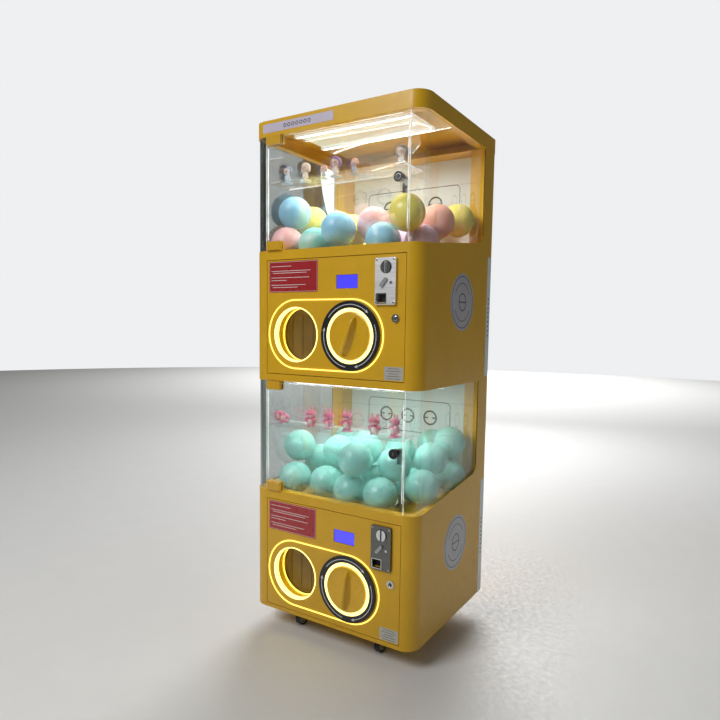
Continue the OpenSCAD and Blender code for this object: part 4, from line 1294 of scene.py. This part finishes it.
class PrizeHoleOperator(bpy.types.Operator):
    """Take-out hole: lining tube, its inner lip, the flap and the lit lines."""

    bl_idname = "capsule_cabinet.prize_holes"
    bl_label = "Take-out holes"

    def execute(self, context):
        paint = paints(context)
        for name in DECKS:
            deck = PLACES[name]
            dress(deck.piece("prize_tube"), paint["tube"], 0.3 * MM)
            # flap and its ribs in the dark brown of painted shade
            dress(deck.piece("prize_flap"), paint["flap"], 0.5 * MM)
            self.lines(deck, paint)
            self.lip(deck, paint)
            self.flap_grip(deck, paint)
        return {"FINISHED"}

    def lines(self, deck, paint):
        """Light line round the hole and the knob; its two rings are brighter than the outer line."""
        node = dress(deck.piece("door_lights"), paint["line"], 0.5 * MM)
        node.data.materials.append(paint["ring"])
        hole_reach, knob_reach = 86 * MM, 84 * MM      # outside the rings and inside the outer line
        outer = 99 * MM
        for face in node.data.polygons:
            centre = face.center
            near_hole = math.hypot(centre.x - deck.hole.x, centre.z - deck.hole.z) < hole_reach
            near_knob = math.hypot(centre.x - deck.knob.x, centre.z - deck.knob.z) < knob_reach
            if (near_hole or near_knob) and abs(centre.z - deck.hole.z) < outer:
                face.material_index = 1

    def lip(self, deck, paint):
        """Second lit ring at the inner end of the tube."""
        shape = Shape()
        radius = (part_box(deck.piece("prize_tube"))[1].x - deck.hole.x) - 13.4 * MM
        back = deck.tube_back
        centre = Vector((deck.hole.x, 0, deck.hole.z))
        profile = ((0, 5), (2.6, 4.4), (3, 2), (2.6, 0.6), (0, 0.2))
        shape.lathe([(radius - r * MM, back - h * MM) for r, h in profile], centre, "y", 96)
        shape.piece(deck.piece("inner_ring"), deck.body("service_door"), "light_line", paint["line"])

    def flap_grip(self, deck, paint):
        """Finger ledge and stiffening ribs on the flap."""
        low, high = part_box(deck.piece("prize_flap"))
        shape = Shape()
        middle = (low.x + high.x) / 2
        for x in (-60, -20, 20, 60):
            shape.block((middle + (x - 2) * MM, low.y - 1.2 * MM, low.z + 16 * MM),
                        (middle + (x + 2) * MM, low.y + 0.4 * MM, high.z - 22 * MM))
        shape.block((low.x + 14 * MM, low.y - 1.6 * MM, low.z + 5 * MM),
                    (high.x - 14 * MM, low.y + 0.4 * MM, low.z + 11 * MM))
        shape.piece(deck.piece("flap_ribs"), deck.body("prize_flap"), "amber_plastic", paint["flap"],
                    0.4 * MM)


class KnobOperator(bpy.types.Operator):
    """Knob with a moulded grip, its black ring and the turn arrows."""

    bl_idname = "capsule_cabinet.knobs"
    bl_label = "Knobs"

    LEAN = {"lower": 8, "upper": 22}
    ARROWS = ((144, 48), (22, -76), (-98, -193))

    def execute(self, context):
        paint = paints(context)
        for name in DECKS:
            deck = PLACES[name]
            dress(deck.piece("knob_ring"), paint["black"], 1.2 * MM)
            self.arrows(deck, paint)
            self.knob(deck, paint)
        return {"FINISHED"}

    def arrows(self, deck, paint):
        low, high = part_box(deck.piece("knob_ring"))
        centre = ((low.x + high.x) / 2, (low.z + high.z) / 2)
        ink = (low.y + 0.1 * MM, low.y - 0.25 * MM)
        radius = 89.5 * MM
        shape = Shape()
        for start, end in self.ARROWS:
            shape.ribbon(arc(radius, start, end + 4, 40, centre), 1.7 * MM, *ink)
            tip = math.radians(end)
            forward = Vector((math.sin(tip), -math.cos(tip)))
            out = Vector((math.cos(tip), math.sin(tip)))
            point = Vector(centre) + out * radius + forward * 3 * MM
            head = [point, point - forward * 11 * MM + out * 4.5 * MM, point - forward * 8 * MM,
                    point - forward * 11 * MM - out * 4.5 * MM]
            shape.prism([tuple(p) for p in head], *ink)
        shape.piece(deck.piece("turn_arrows"), deck.body("service_door"), "white_panel", paint["arrow"])

    def knob(self, deck, paint):
        front = deck.front
        low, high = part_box(deck.piece("knob"))
        centre = Vector((deck.knob.x, 0, deck.knob.z))
        radius = (high.x - low.x) / 2
        shape = Shape()
        rim = ((2, 1), (0, 2.2), (0, 6), (0.6, 7.4), (2, 8), (4.5, 7.6), (8, 6.6), (26, 6.1))
        profile = [(0.3 * MM, front - 1 * MM)]
        profile += [(radius - r * MM, front - h * MM) for r, h in rim]
        profile += [(0.3 * MM, front - 6 * MM)]
        shape.lathe(profile, centre, "y", 96)
        self.grip(shape, centre, front, low.y, radius - 10 * MM, math.radians(self.LEAN[deck.name]))
        shape.finish = 1
        shape.lathe([(8 * MM, front - 1 * MM), (8 * MM, high.y - 8 * MM), (7.2 * MM, high.y),
                     (0.3 * MM, high.y)], centre, "y", 32)
        teeth = []
        for k in range(6):
            teeth += arc(32 * MM, k * 60 + 7, k * 60 + 53, 10, (centre.x, centre.z))
            teeth += arc(25 * MM, k * 60 + 53, k * 60 + 67, 3, (centre.x, centre.z))
        shape.prism(teeth, front + 36 * MM, front + 40 * MM)
        shape.piece(deck.piece("knob_body"), deck.body("knob"), "knob_plastic",
                    [paint["knob"], paint["cast"]], angle=32, replaces=(deck.piece("knob"),))

    def grip(self, shape, centre, front, tip, half, lean):
        """Ridge across the knob, highest and widest at its middle."""
        turn = Matrix.Rotation(lean, 3, "Y")
        rings = []
        steps = 22
        for k in range(steps + 1):
            t = -1 + 2 * k / steps
            t = math.copysign(1 - (1 - abs(t)) ** 1.25, t)
            swell = math.sqrt(max(0.0, 1 - abs(t) ** 3.2))
            height = 2 * MM + (front - 6 * MM - tip - 2 * MM) * swell ** 0.8
            width = 1.5 * MM + (16 - 7 * t) * MM * swell
            ring = []
            for u, v in self.section(width, height):
                ring.append(centre + turn @ Vector((u, 0, t * half)) + Vector((0, front - 5.8 * MM - v, 0)))
            rings.append(ring)
        shape.skin(rings)

    def section(self, width, height):
        """Outline across the ridge: wide foot, hollow flanks, round top."""
        points = [(-width, 0), (-width * 0.86, height * 0.12), (-width * 0.62, height * 0.4),
                  (-width * 0.45, height * 0.75)]
        points += [(width * 0.42 * math.cos(a), height * (0.78 + 0.22 * math.sin(a)))
                   for a in (math.radians(180 - 30 * k) for k in range(1, 6))]
        points += [(-u, v) for u, v in reversed(points[:4])]
        return points


class CoinUnitOperator(bpy.types.Operator):
    """Coin plate with its bezel, button, return lever, return cup and screws; the dark back of the cup and
    the dark coin slot are painted shade.
    """

    bl_idname = "capsule_cabinet.coin_units"
    bl_label = "Coin units"

    def execute(self, context):
        paint = paints(context)
        for name in DECKS:
            deck = PLACES[name]
            # the lower plate takes the darker copy of the steel: painted shade
            plate = paint["steel"] if name == "upper" else paint["worn"]
            dress(deck.piece("coin_unit"), plate, 0.7 * MM)
            dress(deck.piece("return_lever"), paint["cast"], 0.8 * MM)
            self.fittings(deck, plate, paint)
        return {"FINISHED"}

    def fittings(self, deck, plate, paint):
        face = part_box(deck.piece("coin_unit"))[0].y + 2 * MM
        x, z = 190 * MM, deck.floor - 103 * MM
        shape = Shape()
        for sx in SIDES:
            for sz in SIDES:
                screw(shape, (x + sx * 27 * MM, face, z + sz * 58 * MM), 3.4 * MM, -1)
        self.bezel(shape, (x + 2 * MM, face, z + 38 * MM))
        button = Vector((x + 18 * MM, face, z - 4 * MM))
        shape.finish = 0
        shape.lathe([(r * MM, h * MM) for r, h in ((4.2, 0), (4.2, -1.2), (3.4, -2), (0.2, -2.3))],
                    button, "y", 24)
        cup = (x - 12 * MM, z - 46 * MM)
        shape.ribbon(rounded(31 * MM, 27 * MM, 2 * MM, cup), 2 * MM, face - 1.4 * MM, face, closed=True)
        # dark plate deep in the cup: painted shade of its hollow
        shape.finish = 1
        corners = ((-1, -1), (1, -1), (1, 1), (-1, 1))
        shape.prism([(cup[0] + sx * 13.5 * MM, cup[1] + sz * 11.5 * MM) for sx, sz in corners],
                    face + 16.5 * MM, face + 17.5 * MM)
        shape.piece(deck.piece("coin_fittings"), deck.body("service_door"), "chrome",
                    [paint["chrome"], paint["dark"], plate], angle=30)

    def bezel(self, shape, centre):
        """Round coin bezel: a bright cheek on each side of the slot, on a dark disc that paints shade in
        the slot and round the bezel.
        """
        x, face, z = centre
        radius = 15.5 * MM
        shape.finish = 1
        shape.prism(disc(radius + 2 * MM, (x, z)), face, face - 0.8 * MM)
        shape.finish = 0
        for side in SIDES:
            cheek = [(x + side * 3 * MM + side * (radius - 3 * MM) * math.cos(math.radians(a)),
                      z + radius * math.sin(math.radians(a))) for a in range(-90, 91, 15)]
            front = face - (3.6 if side > 0 else 2.6) * MM
            shape.prism(cheek, face, front)
        shape.finish = 1
        # dark strip in the slot: painted shade
        shape.prism(rounded(3 * MM, 26 * MM, 1.4 * MM, (x, z)), face - 2.2 * MM, face - 1.9 * MM)
        shape.finish = 0


class ScreenOperator(bpy.types.Operator):
    """Small blue displays in black frames."""

    bl_idname = "capsule_cabinet.screens"
    bl_label = "Displays"

    def execute(self, context):
        paint = paints(context)
        for name in DECKS:
            deck = PLACES[name]
            dress(deck.piece("lcd"), paint["screen"], 0.3 * MM)
            self.surround(deck, paint)
        return {"FINISHED"}

    def surround(self, deck, paint):
        low, high = deck.screen
        width, height = high.x - low.x - 10 * MM, high.z - low.z - 10 * MM
        middle = ((low.x + high.x) / 2, (low.z + high.z) / 2)
        shape = Shape()
        line = [(middle[0] + sx * width / 2, middle[1] + sz * height / 2)
                for sx, sz in ((-1, -1), (1, -1), (1, 1), (-1, 1))]
        inset = [(middle[0] + (u - middle[0]) * 0.965, middle[1] + (v - middle[1]) * 0.94) for u, v in line]
        rings = [[on_plane("y", u, v, w) for u, v in loop]
                 for loop, w in ((line, deck.front + 0.3 * MM), (inset, deck.front + 0.9 * MM))]
        shape.skin(rings, caps=False)
        shape.piece(deck.piece("screen_frame"), deck.body("service_door"), "black_plastic", paint["black"])


class DispenserOperator(bpy.types.Operator):
    """Capsule wheel, pinion, motor and plate of each dispenser."""

    bl_idname = "capsule_cabinet.dispensers"
    bl_label = "Dispensers"

    VANE = ((18, 3.5, 5), (60, 3, 5), (100, 3.5, 5), (128, 2.5, 3))     # reach, half width, height

    def execute(self, context):
        paint = paints(context)
        dress("dispenser_plates", paint["zinc"], 0.3 * MM)
        dress("gear_motors", paint["cast"], 0.5 * MM)
        for name in DECKS:
            deck = PLACES[name]
            dress(deck.piece("capsule_wheel"), paint["gear"])
            dress(deck.piece("pinion"), paint["gear"])
            self.wheel_hub(deck, paint)
            self.motor_trim(deck, paint)
        return {"FINISHED"}

    def wheel_hub(self, deck, paint):
        """Stirring vanes between the pockets and a cap over the axle pin."""
        low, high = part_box(deck.piece("capsule_wheel"))
        centre = (low + high) / 2
        shape = Shape()
        shape.lathe([(r * MM, h * MM) for r, h in ((15, 0), (15, 3), (13, 5), (6, 6.5), (0.3, 7))],
                    (centre.x, centre.y, high.z - 0.5 * MM), "z", 40)
        for k in range(3):
            a = math.radians(292 + 120 * k)     # halfway between two pockets
            out = Vector((math.cos(a), math.sin(a), 0))
            side = Vector((-out.y, out.x, 0))
            rings = []
            for reach, half, rise in self.VANE:
                base = Vector((centre.x, centre.y, high.z - 0.4 * MM)) + out * reach * MM
                rings.append([base - side * half * MM, base + side * half * MM,
                              base + side * half * 0.5 * MM + Vector((0, 0, rise * MM)),
                              base - side * half * 0.5 * MM + Vector((0, 0, rise * MM))])
            shape.skin(rings)
        shape.piece(deck.piece("wheel_vanes"), deck.body("capsule_wheel"), "gear_plastic", paint["gear"],
                    0.5 * MM)

    def motor_trim(self, deck, paint):
        """Clamp band and terminals on the motor."""
        low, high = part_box("gear_motors")
        x, y = (low.x + high.x) / 2, (low.y + high.y) / 2
        step_in = 8 * MM    # the motor is that much slimmer than its gearbox
        radius = min(high.x - low.x, high.y - low.y) / 2 - step_in
        bottom = low.z + deck.floor - PLACES["lower"].floor
        shape = Shape()
        band = ((-0.2, 12), (0.8, 12.4), (0.8, 17.6), (-0.2, 18))
        shape.lathe([(radius + r * MM, h * MM) for r, h in band], (x, y, bottom), "z", 64)
        shape.finish = 1
        for side in SIDES:
            shape.block((x + side * 8 * MM - 1.5 * MM, y - 3 * MM, bottom - 7 * MM),
                        (x + side * 8 * MM + 1.5 * MM, y + 3 * MM, bottom + 0.5 * MM))
        shape.piece(deck.piece("motor_trim"), CABINET, "motor_metal", [paint["black"], paint["copper"]],
                    0.3 * MM)


class ServiceBayOperator(bpy.types.Operator):
    """Coin boxes with handles, power supply and mains inlet."""

    bl_idname = "capsule_cabinet.service_bay"
    bl_label = "Service bay"

    def execute(self, context):
        paint = paints(context)
        dress("coin_boxes", paint["enamel"], 0.6 * MM)
        dress("power_supply", paint["cast"], 0.5 * MM)
        dress("power_inlet", paint["black"], 0.5 * MM)
        self.box_handles(paint)
        self.supply_vents(paint)
        self.inlet_pins(paint)
        return {"FINISHED"}

    def box_handles(self, paint):
        low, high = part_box("coin_boxes")
        shape = Shape()
        middle = (low.x + high.x) / 2
        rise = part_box("upper_housing")[0].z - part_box("lower_housing")[0].z
        for z in (low.z + 70 * MM, low.z + 70 * MM + rise):
            rings = []
            for k in range(13):
                a = math.pi * k / 12
                spine = Vector((middle - 32 * MM * math.cos(a), low.y - 13 * MM * math.sin(a), z))
                out = Vector((-math.cos(a), -math.sin(a), 0))
                rings.append([spine + out * 2.5 * MM * math.cos(t) + Vector((0, 0, 2.5 * MM * math.sin(t)))
                              for t in (2 * math.pi * m / 10 for m in range(10))])
            shape.skin(rings)
        shape.piece("coin_box_handles", CABINET, "zinc_steel", paint["zinc"])

    def supply_vents(self, paint):
        low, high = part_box("power_supply")
        shape = Shape()
        # dark discs on the lid stand for the vent holes: painted shade
        for row in range(4):
            for k in range(12):
                centre = (low.x + 18 * MM + 12 * MM * k, low.y + 20 * MM + 18 * MM * row)
                shape.prism(disc(3.4 * MM, centre, 6), high.z, high.z + 0.15 * MM, "z")
        shape.finish = 1
        for k in range(7):
            x = low.x + 22 * MM + 9 * MM * k
            shape.block((x - 3.5 * MM, low.y - 9 * MM, low.z + 14 * MM),
                        (x + 3.5 * MM, low.y + 1 * MM, low.z + 26 * MM))
        shape.piece("supply_vents", CABINET, "black_plastic", [paint["dark"], paint["copper"]])

    def inlet_pins(self, paint):
        low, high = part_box("power_inlet")
        middle = (low + high) / 2
        shape = Shape()
        for dx, dz in ((-7, -2), (0, 2.5), (7, -2)):
            x, z = middle.x + dx * MM, middle.z + dz * MM
            shape.block((x - 1 * MM, high.y - 20 * MM, z - 2 * MM),
                        (x + 1 * MM, high.y - 4 * MM, z + 2 * MM))
        shape.piece("inlet_pins", CABINET, "zinc_steel", paint["copper"], 0.3 * MM)


OPERATORS = (
    StageOperator, CabinetOperator, EmblemOperator, CasterOperator, PaneOperator, DisplayPanelOperator,
    LightBarOperator, CapsuleOperator, ShelfToyOperator, HardwareOperator, PlateOperator, PrizeHoleOperator,
    KnobOperator, CoinUnitOperator, ScreenOperator, DispenserOperator, ServiceBayOperator,
)


class CabinetPanel(bpy.types.Panel):
    """Lists the steps that build the cabinet."""

    bl_idname = "VIEW3D_PT_capsule_cabinet"
    bl_label = "Capsule vending cabinet"
    bl_space_type = "VIEW_3D"
    bl_region_type = "UI"
    bl_category = "Capsules"

    def draw(self, context):
        for step in OPERATORS:
            self.layout.operator(step.bl_idname)


def register():
    for group in SETTINGS.values():
        bpy.utils.register_class(group)
    for name, group in SETTINGS.items():
        setattr(bpy.types.Scene, name, PointerProperty(type=group))
    for step in OPERATORS:
        bpy.utils.register_class(step)
    bpy.utils.register_class(CabinetPanel)


def unregister():
    bpy.utils.unregister_class(CabinetPanel)
    for step in reversed(OPERATORS):
        bpy.utils.unregister_class(step)
    for name, group in SETTINGS.items():
        delattr(bpy.types.Scene, name)
        bpy.utils.unregister_class(group)


def main():
    register()
    for step in OPERATORS:
        family, action = step.bl_idname.split(".")
        getattr(getattr(bpy.ops, family), action)()


if __name__ == "__main__":
    main()
